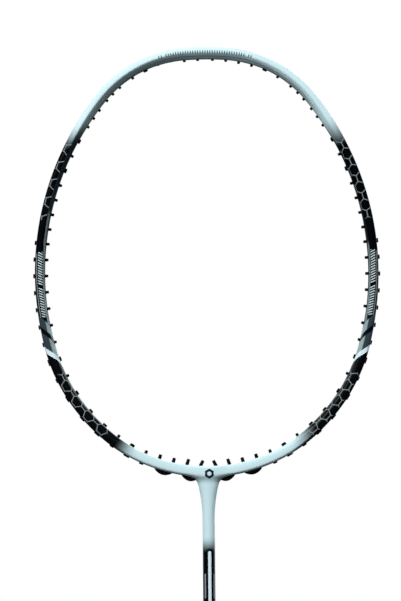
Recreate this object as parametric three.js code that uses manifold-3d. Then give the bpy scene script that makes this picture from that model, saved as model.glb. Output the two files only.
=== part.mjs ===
// An unstrung badminton racket as separate named pieces, in millimetres with +Z up.
// The origin is the centre of the flat butt end. The shaft runs up +Z, the string plane is the
// XZ plane, and the front face looks along -Y. Nothing on the racket moves.

import * as THREE from "three";
import { ParametricGeometry } from "three/addons/geometries/ParametricGeometry.js";
import { mergeVertices } from "three/addons/utils/BufferGeometryUtils.js";
import Module from "manifold-3d";

const wasm = await Module();
wasm.setup();

// ---- driving dimensions -------------------------------------------------------------------

const overallLength = 675;

// Half of the head's centre line, from the top centre round to the throat: arcs tangent to each
// other. A last arc, worked out below, brings the line back to the racket's axis.
const headArcRadii = [179, 70.8, 167, 103.5];
const headArcTurns = [3.7, 48, 53.4, 36].map(THREE.MathUtils.degToRad);

const frameWidth = 6.5; // of the head tube in the string plane, at the top and sides
const throatFrameWidth = 7.2; // the same at the throat
const swellStart = 0.75; // share of the way from the top to the throat where the tube starts to swell
const throatInset = 0.95; // of the tube's inner wall there, towards the centre line
const insetStart = 280; // along the centre line from the top centre, where the inner wall starts to move
const insetEnd = 315; // where it is all the way in
const frameDepth = 10.2; // of the head tube, front to back
const frameBevel = 2.1; // across each bevelled corner of the tube
const frameWall = 1.1;

const grooveWidth = 2.8; // of the string groove round the outside of the head
const grooveDepth = 1.0; // from the top down to where the proud grommets start
const shallowGrooveDepth = 0.12; // from there to the throat
const groovedLength = 165; // along the centre line, each side of the top centre
const grooveFade = 12; // over which the groove turns shallow
const headSegments = 72;
const bandStep = 5; // length of each straight facet of a band along the head

const gap = 0.2; // between a piece and the piece cut to take it
const roundSides = 16;
const stemSides = 12;

const barrelRadius = 1.1; // of a grommet that takes one string
const sharedBarrelRadius = 1.55; // of a grommet that takes two
const stringHoleShare = 0.6; // of a barrel's radius, for its bore
const barrelSides = 6;
const barrelReach = 1.5; // of a barrel past the inside of the frame
const grommetHeadHeight = 0.85;
const grommetHeadRim = 0.4; // of the head past its barrel, all round
const stripThickness = 0.55; // of the band that links grommets in the groove
const stripWidth = 2.2;
const stripOverhang = 2.5; // past the last hole at each end
const saddleThickness = 2.4; // of the hump that links two grommets at the throat
const saddleWidth = 3.2;
const saddleOverhang = 0.8; // past the axis of the hole at each end

const shaftRadius = 3.65;
const shaftBoreRadius = 2.3;
const shaftFoot = 70; // how far up the handle the shaft starts
const stemRadius = 2.0;
const stemLength = 65; // of the T-joint's stem, below the head's centre line
const armReach = 18; // of each T-joint arm along the head tube
const flareLength = 24; // of the throat, from the head down to the plain shaft
const flareGrowth = 1.6; // of the throat's half width over the upper part of the flare
const flareShare = 2 / 3; // how much of the flare that part is
const throatFillet = 6;

const handleWidth = 22.8; // wooden core, flat to flat, in the string plane
const handleDepth = 20.6; // the same, front to back
const handleTop = 171; // where the octagon ends and the cone cap starts
const noseTop = 193; // of the core's round nose, inside the cone cap
const noseFootRadius = 8;
const noseTopRadius = 5.6;
const noseRoot = 2; // how deep the nose reaches into the octagon
const coreHollowRadius = 7;
const coreHollowTop = 60; // the core is hollow from the butt up to here, to save weight
const coneTop = 205;
const coneTopRadius = 5;
const coneBow = 0.8; // how far the cone cap bulges past a straight taper
const buttFlare = 1.3; // of the core's half width at the butt
const flareStart = 14; // height where the butt flare is still full
const flareEnd = 36; // height where it has died away

const gripThickness = 1.6;
const tapeThickness = 0.4;
const tapeWidth = 14;
const capFloor = 2.2;
const capHeight = 9;
const capWall = 2;
const badgeRadius = 8;
const badgeThickness = 0.9;
const badgeSides = 24;
const capEdge = 1.2; // bevel round the cap's foot
const stapleCrown = 8;
const stapleWire = 0.6;
const stapleLeg = 6;
const stapleHeight = 11.6;

// ---- solids -------------------------------------------------------------------------------

// A geometry as a manifold-3d solid. Triangles that shrank to a line at a pole are left out.
function toSolid(geometry) {
  const bare = geometry.clone();
  bare.deleteAttribute("normal");
  bare.deleteAttribute("uv");
  const merged = mergeVertices(bare, 1e-3);
  const index = merged.index.array;
  const kept = [];
  for (let i = 0; i < index.length; i += 3) {
    const [a, b, c] = [index[i], index[i + 1], index[i + 2]];
    if (a !== b && b !== c && c !== a) kept.push(a, b, c);
  }
  const vertProperties = new Float32Array(merged.attributes.position.array);
  const triVerts = new Uint32Array(kept);
  return new wasm.Manifold(new wasm.Mesh({ numProp: 3, vertProperties, triVerts }));
}

function toGeometry(solid) {
  const mesh = solid.getMesh();
  const geometry = new THREE.BufferGeometry();
  geometry.setAttribute("position", new THREE.Float32BufferAttribute(mesh.vertProperties, 3));
  geometry.setIndex(Array.from(mesh.triVerts));
  geometry.computeVertexNormals();
  return geometry;
}

const join = (first, ...rest) => rest.reduce((whole, piece) => whole.add(piece), first);
const cut = (first, ...rest) => rest.reduce((whole, piece) => whole.subtract(piece), first);

// A closed skin from a function of (around, along), both 0 to 1, that gives a point.
function skin(pointAt, around, along) {
  const place = (u, v, target) => target.copy(pointAt(u % 1, v));
  return toSolid(new ParametricGeometry(place, around, along));
}

// A profile of [radius, height] pairs turned round Z. The profile closes on itself.
function turned(profile, sides) {
  const points = [...profile, profile[0]].map(([radius, height]) => new THREE.Vector2(radius, height));
  return toSolid(new THREE.LatheGeometry(points, sides).rotateX(Math.PI / 2));
}

// A round bar along Z from one height to another.
function bar(radius, from, to, sides) {
  const cylinder = new THREE.CylinderGeometry(radius, radius, to - from, sides);
  return toSolid(cylinder.rotateX(Math.PI / 2).translate(0, 0, (from + to) / 2));
}

function block(width, depth, height, x, y, z) {
  return toSolid(new THREE.BoxGeometry(width, depth, height).translate(x, y, z));
}

// ---- the head's centre line ---------------------------------------------------------------

function headArcs() {
  const arcs = [];
  const pen = { x: 0, z: overallLength - frameWidth / 2, heading: 0, start: 0 };
  const draw = (radius, turn) => {
    const end = pen.heading + turn;
    arcs.push({ ...pen, radius });
    pen.x += radius * (Math.sin(end) - Math.sin(pen.heading));
    pen.z += radius * (Math.cos(end) - Math.cos(pen.heading));
    pen.heading = end;
    pen.start += radius * turn;
  };
  headArcRadii.forEach((radius, i) => draw(radius, headArcTurns[i]));
  draw(pen.x / Math.sin(pen.heading), Math.PI - pen.heading);
  return { arcs, halfLength: pen.start, bottom: pen.z };
}

const head = headArcs();

// The centre line at a distance along it from the top centre, positive on the +X side:
// its place and its outward normal, both in the XZ plane.
function headPoint(distance) {
  const fullLength = 2 * head.halfLength;
  const wrapped = THREE.MathUtils.euclideanModulo(distance + head.halfLength, fullLength) - head.halfLength;
  const side = wrapped < 0 ? -1 : 1;
  const arc = head.arcs.findLast((candidate) => candidate.start <= Math.abs(wrapped));
  const heading = arc.heading + (Math.abs(wrapped) - arc.start) / arc.radius;
  return {
    x: side * (arc.x + arc.radius * (Math.sin(heading) - Math.sin(arc.heading))),
    z: arc.z + arc.radius * (Math.cos(heading) - Math.cos(arc.heading)),
    outX: side * Math.sin(heading),
    outZ: Math.cos(heading),
  };
}

// The distance along the +X half where a coordinate of the centre line has a value.
function distanceWhere(coordinate, value, from, to) {
  const rises = headPoint(to)[coordinate] > headPoint(from)[coordinate];
  let [low, high] = [from, to];
  for (let step = 0; step < 40; step++) {
    const middle = (low + high) / 2;
    const isPast = headPoint(middle)[coordinate] > value === rises;
    if (isPast) high = middle;
    else low = middle;
  }
  return low;
}

// Half of the frame's width in the string plane: it swells from the sides to the throat.
function halfWidthAt(distance) {
  const swell = THREE.MathUtils.smoothstep(Math.abs(distance), swellStart * head.halfLength, head.halfLength);
  return THREE.MathUtils.lerp(frameWidth, throatFrameWidth, swell) / 2;
}

// A line that runs beside the centre line, offset outwards by a distance.
class HeadPath extends THREE.Curve {
  constructor(from, to, offset) {
    super();
    Object.assign(this, { from, to, offset });
  }

  getPoint(t, target = new THREE.Vector3()) {
    const at = headPoint(THREE.MathUtils.lerp(this.from, this.to, t));
    return target.set(at.x + at.outX * this.offset, 0, at.z + at.outZ * this.offset);
  }
}

// A flat band along the head: thickness across the frame, width front to back.
function band(from, to, offset, thickness, width) {
  const section = new THREE.Shape();
  section.moveTo(-width / 2, -thickness / 2);
  section.lineTo(width / 2, -thickness / 2);
  section.lineTo(width / 2, thickness / 2);
  section.lineTo(-width / 2, thickness / 2);
  const steps = Math.ceil((to - from) / bandStep);
  return toSolid(new THREE.ExtrudeGeometry(section, { steps, extrudePath: new HeadPath(from, to, offset) }));
}

// ---- where the strings pass through the frame ---------------------------------------------

const firstMain = 4.5; // from the axis to the first main string
const topMainPitch = 8.1;
const throatMainPitch = 8.37;
const topCross = 650.4; // height of the first cross string

function crossHeights() {
  const heights = [topCross];
  const addGaps = (count, first, growth) => {
    for (let i = 0; i < count; i++) heights.push(heights.at(-1) - first - i * growth);
  };
  addGaps(2, 10.1, 0);
  addGaps(8, 8.9, 0);
  addGaps(8, 9.63, 0.107);
  return heights;
}

// The holes of the +X half, in order from the top centre, as distances along the centre line.
function holeDistances() {
  const widest = distanceWhere("outZ", 0, 0, head.halfLength);
  const topMains = Array.from({ length: 9 }, (_, i) => firstMain + i * topMainPitch);
  const throatMains = Array.from({ length: 10 }, (_, i) => firstMain + i * throatMainPitch);
  return [
    ...topMains.map((x) => distanceWhere("x", x, 0, widest)),
    ...crossHeights().map((z) => distanceWhere("z", z, 0, head.halfLength)),
    ...throatMains.map((x) => distanceWhere("x", x, widest, head.halfLength)),
  ].sort((a, b) => a - b);
}

// Holes are numbered from 1 at the top centre. These ones take two strings.
const sharedHoles = [5, 13, 15, 27, 29, 30, 31, 33];
// The last holes lean towards the axis to clear the throat.
const extraLean = { 36: 3, 37: 10, 38: 23 };

// A leaning hole is placed by its mouth inside the head, so its outer end lies further from the axis.
function makeHoles(side) {
  return holeDistances().map((mouth, i) => {
    const number = i + 1;
    const lean = THREE.MathUtils.degToRad(extraLean[number] ?? 0);
    const shift = halfWidthAt(mouth) * Math.tan(lean);
    const at = headPoint(side * (mouth - shift));
    return {
      number,
      outerDistance: side * (mouth - 2 * shift),
      x: at.x,
      z: at.z,
      turn: Math.atan2(-at.outX, -at.outZ) - side * lean,
      radius: sharedHoles.includes(number) ? sharedBarrelRadius : barrelRadius,
      reach: halfWidthAt(mouth) / Math.cos(lean),
    };
  });
}

const rightHoles = makeHoles(1);
const leftHoles = makeHoles(-1);
const allHoles = [...rightHoles, ...leftHoles];

// Moves a solid made along +Z, with its origin on the centre line, into a hole.
function intoHole(solid, hole) {
  const degrees = THREE.MathUtils.radToDeg(hole.turn);
  return solid.rotate([0, degrees, 0]).translate([hole.x, 0, hole.z]);
}

function holeCutter(hole) {
  const past = hole.reach + saddleThickness;
  return intoHole(bar(hole.radius + gap, -past, past, barrelSides), hole);
}

function barrel(hole, from) {
  return intoHole(bar(hole.radius, from, hole.reach + barrelReach, barrelSides), hole);
}

function stringHole(hole) {
  const past = hole.reach + barrelReach + saddleThickness;
  return intoHole(bar(hole.radius * stringHoleShare, -past, past, barrelSides), hole);
}

// ---- the frame ----------------------------------------------------------------------------

// How far the tube's inner wall lies from the centre line.
function insideAt(distance) {
  const inset = THREE.MathUtils.smoothstep(Math.abs(distance), insetStart, insetEnd);
  return halfWidthAt(distance) - throatInset * inset;
}

// The tube's section as [outwards, depth] pairs: a bevelled box with the string groove outside.
function frameSection(distance) {
  const halfWidth = halfWidthAt(distance);
  const halfDepth = frameDepth / 2;
  const inside = insideAt(distance);
  const groove = grooveAt(distance);
  const half = [
    [halfWidth - groove, grooveWidth / 2],
    [halfWidth, grooveWidth / 2],
    [halfWidth, halfDepth - frameBevel],
    [halfWidth - frameBevel, halfDepth],
    [frameBevel - inside, halfDepth],
    [-inside, halfDepth - frameBevel],
  ];
  const mirrored = half.map(([out, depth]) => [out, -depth]).reverse();
  return [...half, ...mirrored];
}

// The hollow inside the tube, clear of the groove's floor.
function hollowSection(distance) {
  const outer = halfWidthAt(distance) - grooveDepth - frameWall;
  const inner = frameWall - insideAt(distance);
  const depth = frameDepth / 2 - frameWall;
  const bevel = frameBevel / 2;
  const half = [
    [outer, depth - bevel],
    [outer - bevel, depth],
    [inner + bevel, depth],
    [inner, depth - bevel],
  ];
  const mirrored = half.map(([out, y]) => [out, -y]).reverse();
  return [...half, ...mirrored];
}

// A ring round the whole head, its section given at each distance from the top centre.
function headRing(sectionAt) {
  const corners = sectionAt(0).length;
  const pointAt = (u, v) => {
    const distance = head.halfLength - (v % 1) * 2 * head.halfLength;
    const [out, depth] = sectionAt(distance)[Math.round(u * corners) % corners];
    const at = headPoint(distance);
    return new THREE.Vector3(at.x + at.outX * out, depth, at.z + at.outZ * out);
  };
  return skin(pointAt, corners, headSegments);
}

function grooveAt(distance) {
  const fade = THREE.MathUtils.smoothstep(Math.abs(distance), groovedLength, groovedLength + grooveFade);
  return THREE.MathUtils.lerp(grooveDepth, shallowGrooveDepth, fade);
}

function headFrame() {
  const tube = headRing(frameSection);
  const hollow = headRing(hollowSection);
  const stemHole = bar(stemRadius + gap, head.bottom - throatFrameWidth, head.bottom, stemSides);
  return cut(tube, hollow, stemHole, ...allHoles.map(holeCutter));
}

// ---- grommets -----------------------------------------------------------------------------

// One grommet with a round head that stands on the outside of the frame, made along +Z.
function singleGrommet(hole) {
  const seat = -hole.reach - gap;
  const tip = hole.reach + barrelReach;
  const bore = hole.radius * stringHoleShare;
  const rim = hole.radius + grommetHeadRim;
  const profile = [
    [bore, seat - grommetHeadHeight],
    [rim, seat - grommetHeadHeight],
    [rim, seat],
    [hole.radius, seat],
    [hole.radius, tip],
    [bore, tip],
  ];
  return turned(profile, barrelSides);
}

// Grommets linked by a band that lies in the bottom of the string groove.
function grommetStrip(holes) {
  const distances = holes.map((hole) => hole.outerDistance);
  const from = Math.min(...distances) - stripOverhang;
  const to = Math.max(...distances) + stripOverhang;
  const offset = frameWidth / 2 - grooveDepth + gap + stripThickness / 2;
  const link = band(from, to, offset, stripThickness, stripWidth);
  const barrels = holes.map((hole) => barrel(hole, -offset));
  return cut(join(link, ...barrels), ...holes.map(stringHole));
}

// The bowed hump that links two neighbouring grommets on the outside of the frame. A margin
// makes it bigger all round, to cut its pocket.
function saddle(pair, margin) {
  const distances = pair.map((hole) => hole.outerDistance);
  const past = saddleOverhang + margin;
  const from = Math.min(...distances) - past;
  const to = Math.max(...distances) + past;
  const halfWidth = saddleWidth / 2 + margin;
  const levels = [0, 0, 0.12, 0.3, 0.5, 0.7, 0.88, 1, 1];
  const pointAt = (u, v) => {
    const level = Math.round(v * (levels.length - 1));
    const distance = THREE.MathUtils.lerp(from, to, levels[level]);
    const floor = halfWidthAt(distance) + gap - margin;
    const rise = saddleThickness * (0.35 + 0.65 * Math.sin(Math.PI * levels[level])) + 2 * margin;
    const isEnd = level === 0 || level === levels.length - 1;
    const corner = Math.round(u * 4) % 4;
    const out = isEnd ? floor + rise / 2 : floor + (corner < 2 ? 0 : rise);
    const depth = isEnd ? 0 : corner === 1 || corner === 2 ? halfWidth : -halfWidth;
    const at = headPoint(distance);
    return new THREE.Vector3(at.x + at.outX * out, depth, at.z + at.outZ * out);
  };
  return skin(pointAt, 4, levels.length - 1);
}

function doubleGrommet(pair) {
  const barrels = pair.map((hole) => barrel(hole, -hole.reach - saddleThickness / 2));
  return cut(join(saddle(pair, 0), ...barrels), ...pair.map(stringHole));
}

// ---- the throat and the shaft -------------------------------------------------------------

const throatTop = head.bottom - throatFrameWidth / 2;

// Half of the throat's width at a depth below the head: a long flare and a fillet.
function throatHalfWidth(depth) {
  const flare = flareGrowth * ((flareLength - depth) / (flareLength * flareShare)) ** 2;
  const drop = Math.max(throatFillet - depth, 0);
  const fillet = throatFillet - Math.sqrt(throatFillet ** 2 - drop ** 2);
  return shaftRadius + flare + fillet;
}

// Half of its size front to back, which reaches the plain shaft's sooner.
function throatHalfDepth(depth) {
  const fade = Math.min(depth / (flareLength * flareShare), 1);
  return THREE.MathUtils.lerp((frameDepth - frameBevel) / 2, shaftRadius, fade);
}

// Rings from the foot of the flare up to the head, closed by a point at each end.
function throatFairing() {
  const depths = [24, 18, 12, 8, 5.5, 3.5, 2, 1, 0.5];
  const lastLevel = depths.length + 1;
  const pointAt = (u, v) => {
    const level = Math.round(v * lastLevel);
    const depth = depths[THREE.MathUtils.clamp(level - 1, 0, depths.length - 1)];
    const spread = level === 0 || level === lastLevel ? 0 : 1;
    const angle = 2 * Math.PI * u;
    const x = spread * throatHalfWidth(depth) * Math.cos(angle);
    const y = spread * throatHalfDepth(depth) * Math.sin(angle);
    return new THREE.Vector3(x, y, throatTop - depth);
  };
  const outside = skin(pointAt, roundSides, lastLevel);
  const stemBore = bar(stemRadius + gap, throatTop - flareLength - gap, throatTop, stemSides);
  const pockets = [rightHoles, leftHoles].map((holes) => saddle(holes.slice(-2), 2 * gap));
  return cut(outside, stemBore, ...pockets);
}

// The joint inside: two arms in the hollow of the head and a stem down into the shaft.
function tJoint() {
  const offset = (throatInset - grooveDepth) / 2;
  const thickness = throatFrameWidth - throatInset - 2 * frameWall - grooveDepth - 4 * gap;
  const width = frameDepth - 2 * frameWall - frameBevel;
  const middle = head.halfLength;
  const arms = band(middle - armReach, middle + armReach, offset, thickness, width);
  const stem = bar(stemRadius, head.bottom - stemLength, head.bottom, stemSides);
  const crossing = [...rightHoles.slice(-2), ...leftHoles.slice(-2)];
  return cut(join(arms, stem), ...crossing.map(holeCutter));
}

function shaft() {
  const top = throatTop - flareLength - gap;
  const profile = [
    [shaftBoreRadius, shaftFoot],
    [shaftRadius, shaftFoot],
    [shaftRadius, top],
    [shaftBoreRadius, top],
  ];
  return turned(profile, roundSides);
}

// ---- the handle ---------------------------------------------------------------------------

const depthShare = handleDepth / handleWidth;
const capHalfWidth = handleWidth / 2 + buttFlare + gap + capWall;

// An octagonal solid on Z from a closed profile of [half width, height] pairs. It is narrower
// front to back by the handle's proportion.
function octagonal(profile) {
  const toCorner = 1 / Math.cos(Math.PI / 8);
  const points = [...profile, profile[0]].map(([half, height]) => new THREE.Vector2(half * toCorner, height));
  const lathe = new THREE.LatheGeometry(points, 8, Math.PI / 8);
  return toSolid(lathe.rotateX(Math.PI / 2).scale(1, depthShare, 1));
}

function coreHalfWidth(height) {
  const fade = THREE.MathUtils.smoothstep(height, flareStart, flareEnd);
  return handleWidth / 2 + buttFlare * (1 - fade);
}

// The core's side between two heights, moved outwards by an offset.
function coreSide(from, to, offset) {
  const flareSteps = 4;
  const bends = Array.from({ length: flareSteps + 1 }, (_, i) =>
    THREE.MathUtils.lerp(flareStart, flareEnd, i / flareSteps),
  );
  const heights = [from, ...bends.filter((height) => height > from && height < to), to];
  return heights.map((height) => [coreHalfWidth(height) + offset, height]);
}

function sleeve(from, to, inner, outer) {
  return octagonal([...coreSide(from, to, inner).reverse(), ...coreSide(from, to, outer)]);
}

// The round nose on top of the core. A margin makes it bigger, to cut its pocket.
function coreNose(margin) {
  const profile = [
    [0, handleTop - noseRoot],
    [noseFootRadius + margin, handleTop - noseRoot],
    [noseFootRadius + margin, handleTop],
    [noseTopRadius + margin, noseTop + margin],
    [0, noseTop + margin],
  ];
  return turned(profile, roundSides);
}

function handleCore() {
  const foot = capFloor + gap;
  const octagon = octagonal([[0, foot], ...coreSide(foot, handleTop, 0), [0, handleTop]]);
  const shaftBore = bar(shaftRadius + gap, shaftFoot - gap, noseTop + gap, roundSides);
  const hollow = bar(coreHollowRadius, 0, coreHollowTop, roundSides);
  return cut(join(octagon, coreNose(0)), shaftBore, hollow, stapleLegs(gap));
}

function gripWrap() {
  return cut(sleeve(capHeight + gap, handleTop - gap, gap, gap + gripThickness), stapleBar(gap));
}

function finishingTape() {
  const inner = 2 * gap + gripThickness;
  const top = handleTop - gap;
  return sleeve(top - tapeWidth, top, inner, inner + tapeThickness);
}

// From the handle's octagon to a round neck on the shaft, hollow over the core's nose.
function coneCap() {
  const foot = handleTop + gap;
  const footHalfWidth = handleWidth / 2 + gripThickness;
  const levels = [0, 0, 0.08, 0.3, 0.55, 0.8, 1, 1];
  const pointAt = (u, v) => {
    const level = Math.round(v * (levels.length - 1));
    const rise = levels[level];
    const spread = level === 0 || level === levels.length - 1 ? 0 : 1;
    const angle = 2 * Math.PI * u;
    const isCorner = Math.round(roundSides * u) % 2 === 1;
    const octagon = footHalfWidth / (isCorner ? Math.cos(Math.PI / 8) : 1);
    const bow = Math.sin(Math.PI * rise);
    const radius = spread * (THREE.MathUtils.lerp(octagon, coneTopRadius, rise) + coneBow * bow);
    const squash = THREE.MathUtils.lerp(depthShare, 1, rise);
    const height = THREE.MathUtils.lerp(foot, coneTop, rise);
    return new THREE.Vector3(radius * Math.cos(angle), radius * Math.sin(angle) * squash, height);
  };
  const outside = skin(pointAt, roundSides, levels.length - 1);
  return cut(outside, coreNose(2 * gap), bar(shaftRadius + gap, foot, coneTop + gap, roundSides));
}

function buttCap() {
  const inside = coreHalfWidth(0) + gap;
  const cup = octagonal([
    [0, 0],
    [capHalfWidth - capEdge, 0],
    [capHalfWidth, capEdge],
    [capHalfWidth, capHeight],
    [inside, capHeight],
    [inside, capFloor],
    [0, capFloor],
  ]);
  return cut(cup, bar(badgeRadius + gap, -gap, badgeThickness + gap, badgeSides));
}

const buttBadge = () => bar(badgeRadius, 0, badgeThickness, badgeSides);

const coreFront = -coreHalfWidth(stapleHeight) * depthShare;

// The staple's crown lies flat on the front of the core. A margin makes its pocket.
function stapleBar(margin) {
  const y = coreFront - gap - stapleWire / 2;
  const thick = stapleWire + 2 * margin;
  return block(stapleCrown + 2 * margin, thick, 2 * stapleWire + 2 * margin, 0, y, stapleHeight);
}

function stapleLegs(margin) {
  const thick = stapleWire + 2 * margin;
  const long = stapleLeg + margin;
  const y = coreFront - gap + long / 2;
  const leg = (side) => {
    const x = side * (stapleCrown - stapleWire) / 2;
    return block(thick, long, 2 * thick, x, y, stapleHeight);
  };
  return join(leg(1), leg(-1));
}

const gripStaple = () => join(stapleBar(0), stapleLegs(0));

// ---- the racket ---------------------------------------------------------------------------

const paint = { color: 0xc8e4eb, roughness: 0.25, metalness: 0 };
const bareCarbon = { color: 0x191b1e, roughness: 0.5, metalness: 0 };
const nylon = { color: 0x0b0c0e, roughness: 0.55, metalness: 0 };
const gloss = { color: 0x0a0c0f, roughness: 0.22, metalness: 0 };
const wood = { color: 0xd8b98a, roughness: 0.75, metalness: 0 };
const gripSkin = { color: 0x17191c, roughness: 0.7, metalness: 0 };
const tapeFilm = { color: 0xd5e6ea, roughness: 0.35, metalness: 0 };
const badgeMetal = { color: 0xb9c2c6, roughness: 0.3, metalness: 1 };
const steel = { color: 0xa8abad, roughness: 0.35, metalness: 1 };

function piece(name, solid, look) {
  const mesh = new THREE.Mesh(toGeometry(solid), new THREE.MeshStandardMaterial(look));
  mesh.name = name;
  return mesh;
}

function group(...pieces) {
  const holder = new THREE.Group();
  holder.add(...pieces);
  return holder;
}

// The separate grommets between the strips and the doubles, each placed in its own hole.
function singleGrommets(holes, sideName) {
  return holes.slice(19, 34).map((hole) => {
    const mesh = piece(`grommet_${sideName}_${hole.number}`, singleGrommet(hole), nylon);
    mesh.position.set(hole.x, 0, hole.z);
    mesh.rotation.y = hole.turn;
    return mesh;
  });
}

function sideGrommets(holes, sideName) {
  return group(
    piece(`grommet_strip_${sideName}_shoulder`, grommetStrip(holes.slice(5, 12)), nylon),
    piece(`grommet_strip_${sideName}_side`, grommetStrip(holes.slice(12, 19)), nylon),
    ...singleGrommets(holes, sideName),
    piece(`grommet_double_${sideName}_outer`, doubleGrommet(holes.slice(34, 36)), nylon),
    piece(`grommet_double_${sideName}_inner`, doubleGrommet(holes.slice(36, 38)), nylon),
  );
}

const topStrip = grommetStrip([...rightHoles.slice(0, 5), ...leftHoles.slice(0, 5)]);

const headGroup = group(
  piece("head_frame", headFrame(), paint),
  piece("t_joint", tJoint(), bareCarbon),
  piece("grommet_strip_top", topStrip, nylon),
  sideGrommets(rightHoles, "right"),
  sideGrommets(leftHoles, "left"),
);

const shaftGroup = group(
  piece("throat_fairing", throatFairing(), paint),
  piece("shaft", shaft(), gloss),
);

const handleGroup = group(
  piece("cone_cap", coneCap(), gloss),
  piece("handle_core", handleCore(), wood),
  piece("grip_staple", gripStaple(), steel),
  piece("grip_wrap", gripWrap(), gripSkin),
  piece("finishing_tape", finishingTape(), tapeFilm),
  piece("butt_cap", buttCap(), gloss),
  piece("butt_badge", buttBadge(), badgeMetal),
);

export default group(headGroup, shaftGroup, handleGroup);
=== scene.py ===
"""The looks of the badminton racket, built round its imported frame. Lengths are in millimetres
until a mesh is made. The front of the racket looks along -Y and its shaft stands on Z. Places
along the head are distances from its top centre, and its right side is the one towards +X."""

import math

import bpy
import numpy as np
from mathutils import Matrix, Vector

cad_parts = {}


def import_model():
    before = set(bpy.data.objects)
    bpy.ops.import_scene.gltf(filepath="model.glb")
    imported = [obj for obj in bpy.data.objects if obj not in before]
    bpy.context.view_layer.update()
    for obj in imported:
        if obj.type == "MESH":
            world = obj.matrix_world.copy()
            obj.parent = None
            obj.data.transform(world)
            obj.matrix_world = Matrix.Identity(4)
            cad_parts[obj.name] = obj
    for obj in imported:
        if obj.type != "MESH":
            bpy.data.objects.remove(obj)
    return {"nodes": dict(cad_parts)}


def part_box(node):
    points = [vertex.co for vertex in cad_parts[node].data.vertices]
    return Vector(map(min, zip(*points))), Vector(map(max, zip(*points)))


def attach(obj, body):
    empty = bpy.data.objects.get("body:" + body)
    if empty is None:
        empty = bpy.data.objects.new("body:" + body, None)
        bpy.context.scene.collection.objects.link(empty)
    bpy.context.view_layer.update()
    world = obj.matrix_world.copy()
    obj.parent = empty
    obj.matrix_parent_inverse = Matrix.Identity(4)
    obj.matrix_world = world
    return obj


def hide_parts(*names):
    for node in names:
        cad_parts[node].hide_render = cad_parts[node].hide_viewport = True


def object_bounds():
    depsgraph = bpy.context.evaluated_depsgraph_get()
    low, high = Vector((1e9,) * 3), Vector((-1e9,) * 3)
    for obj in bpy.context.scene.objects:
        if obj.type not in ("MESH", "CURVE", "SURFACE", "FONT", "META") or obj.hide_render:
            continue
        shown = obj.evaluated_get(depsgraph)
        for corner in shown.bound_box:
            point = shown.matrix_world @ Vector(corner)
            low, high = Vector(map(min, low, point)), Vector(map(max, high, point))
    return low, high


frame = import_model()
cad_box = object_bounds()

MM = 0.001


def node_box(node):
    """The lowest and highest corners of a CAD node, in millimetres."""
    low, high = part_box(node)
    return np.array(low) / MM, np.array(high) / MM


# ---- sizes ----

HEAD_LOW, HEAD_HIGH = node_box("head_frame")
FRAME_WIDTH = 6.5  # of the head tube in the string plane, at the top and sides
THROAT_WIDTH = 7.2  # the same at the throat
THROAT_INSET = 0.95  # of the tube's inner wall there, towards the centre line
FRAME_DEPTH = HEAD_HIGH[1] - HEAD_LOW[1]
SWELL_START = 0.75  # share of the way to the throat where the tube starts to swell
SHAFT_RADIUS = node_box("shaft")[1][0]
GROOVE_WIDTH = 2.8
GROOVE_DEPTH = 1.0
GROOVED_LENGTH = 165
GROOVE_FADE = 12  # the length over which the groove runs out
GRIP_WIDTH = 25

# Half of the head's centre line from the top centre: arcs tangent to each other.
ARC_RADII = [179, 70.8, 167, 103.5]
ARC_TURNS = [math.radians(turn) for turn in (3.7, 48, 53.4, 36)]


def head_arcs():
    """The arcs' starts, places, headings and radii. The last arc closes the line on the axis."""
    x, z, heading, start = 0.0, HEAD_HIGH[2] - FRAME_WIDTH / 2, 0.0, 0.0
    rows = []
    radii, turns = list(ARC_RADII), list(ARC_TURNS)
    for i in range(len(radii) + 1):
        if i == len(radii):
            radii.append(x / math.sin(heading))
            turns.append(math.pi - heading)
        rows.append((start, x, z, heading, radii[i]))
        end = heading + turns[i]
        x += radii[i] * (math.sin(end) - math.sin(heading))
        z += radii[i] * (math.cos(end) - math.cos(heading))
        heading = end
        start += radii[i] * turns[i]
    return np.array(rows), start, z


ARCS, HALF_LENGTH, LINE_BOTTOM = head_arcs()
THROAT_ARC_RADIUS = ARCS[-1, 4]


def head_line(distance):
    """Places and outward normals on the centre line, at distances from the top centre. A distance
    on the left is negative."""
    distance = np.asarray(distance, float)
    side = np.where(distance < 0, -1.0, 1.0)
    along = np.abs(distance)
    arc = np.clip(np.searchsorted(ARCS[:, 0], along, side="right") - 1, 0, len(ARCS) - 1)
    start, x, z, first, radius = ARCS[arc].T
    heading = first + (along - start) / radius
    place_x = side * (x + radius * (np.sin(heading) - np.sin(first)))
    place_z = z + radius * (np.cos(heading) - np.cos(first))
    return place_x, place_z, side * np.sin(heading), np.cos(heading)


def smoothstep(low, high, value):
    """Rises from 0 at low to 1 at high."""
    t = np.clip((np.asarray(value, float) - low) / (high - low), 0, 1)
    return t * t * (3 - 2 * t)


def half_width(distance):
    """Half the head tube's width in the string plane."""
    swell = smoothstep(SWELL_START * HALF_LENGTH, HALF_LENGTH, np.abs(distance))
    return (FRAME_WIDTH + swell * (THROAT_WIDTH - FRAME_WIDTH)) / 2


# ---- meshes ----


def make_piece(name, points, faces, material, slot, nodes=(), fields=None, crease=40):
    """A mesh piece from points in millimetres. fields are named numbers kept on its points."""
    mesh = bpy.data.meshes.new(name)
    mesh.from_pydata((np.asarray(points) * MM).tolist(), [], [list(map(int, face)) for face in faces])
    mesh.validate()
    for field, values in (fields or {}).items():
        attribute = mesh.attributes.new(field, "FLOAT", "POINT")
        attribute.data.foreach_set("value", np.asarray(values, np.float32))
    mesh.shade_smooth()
    mesh.set_sharp_from_angle(angle=math.radians(crease))
    mesh.materials.append(material)
    piece = bpy.data.objects.new(name, mesh)
    bpy.context.scene.collection.objects.link(piece)
    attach(piece, "root")
    if nodes:
        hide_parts(*nodes)
    return piece


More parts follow.
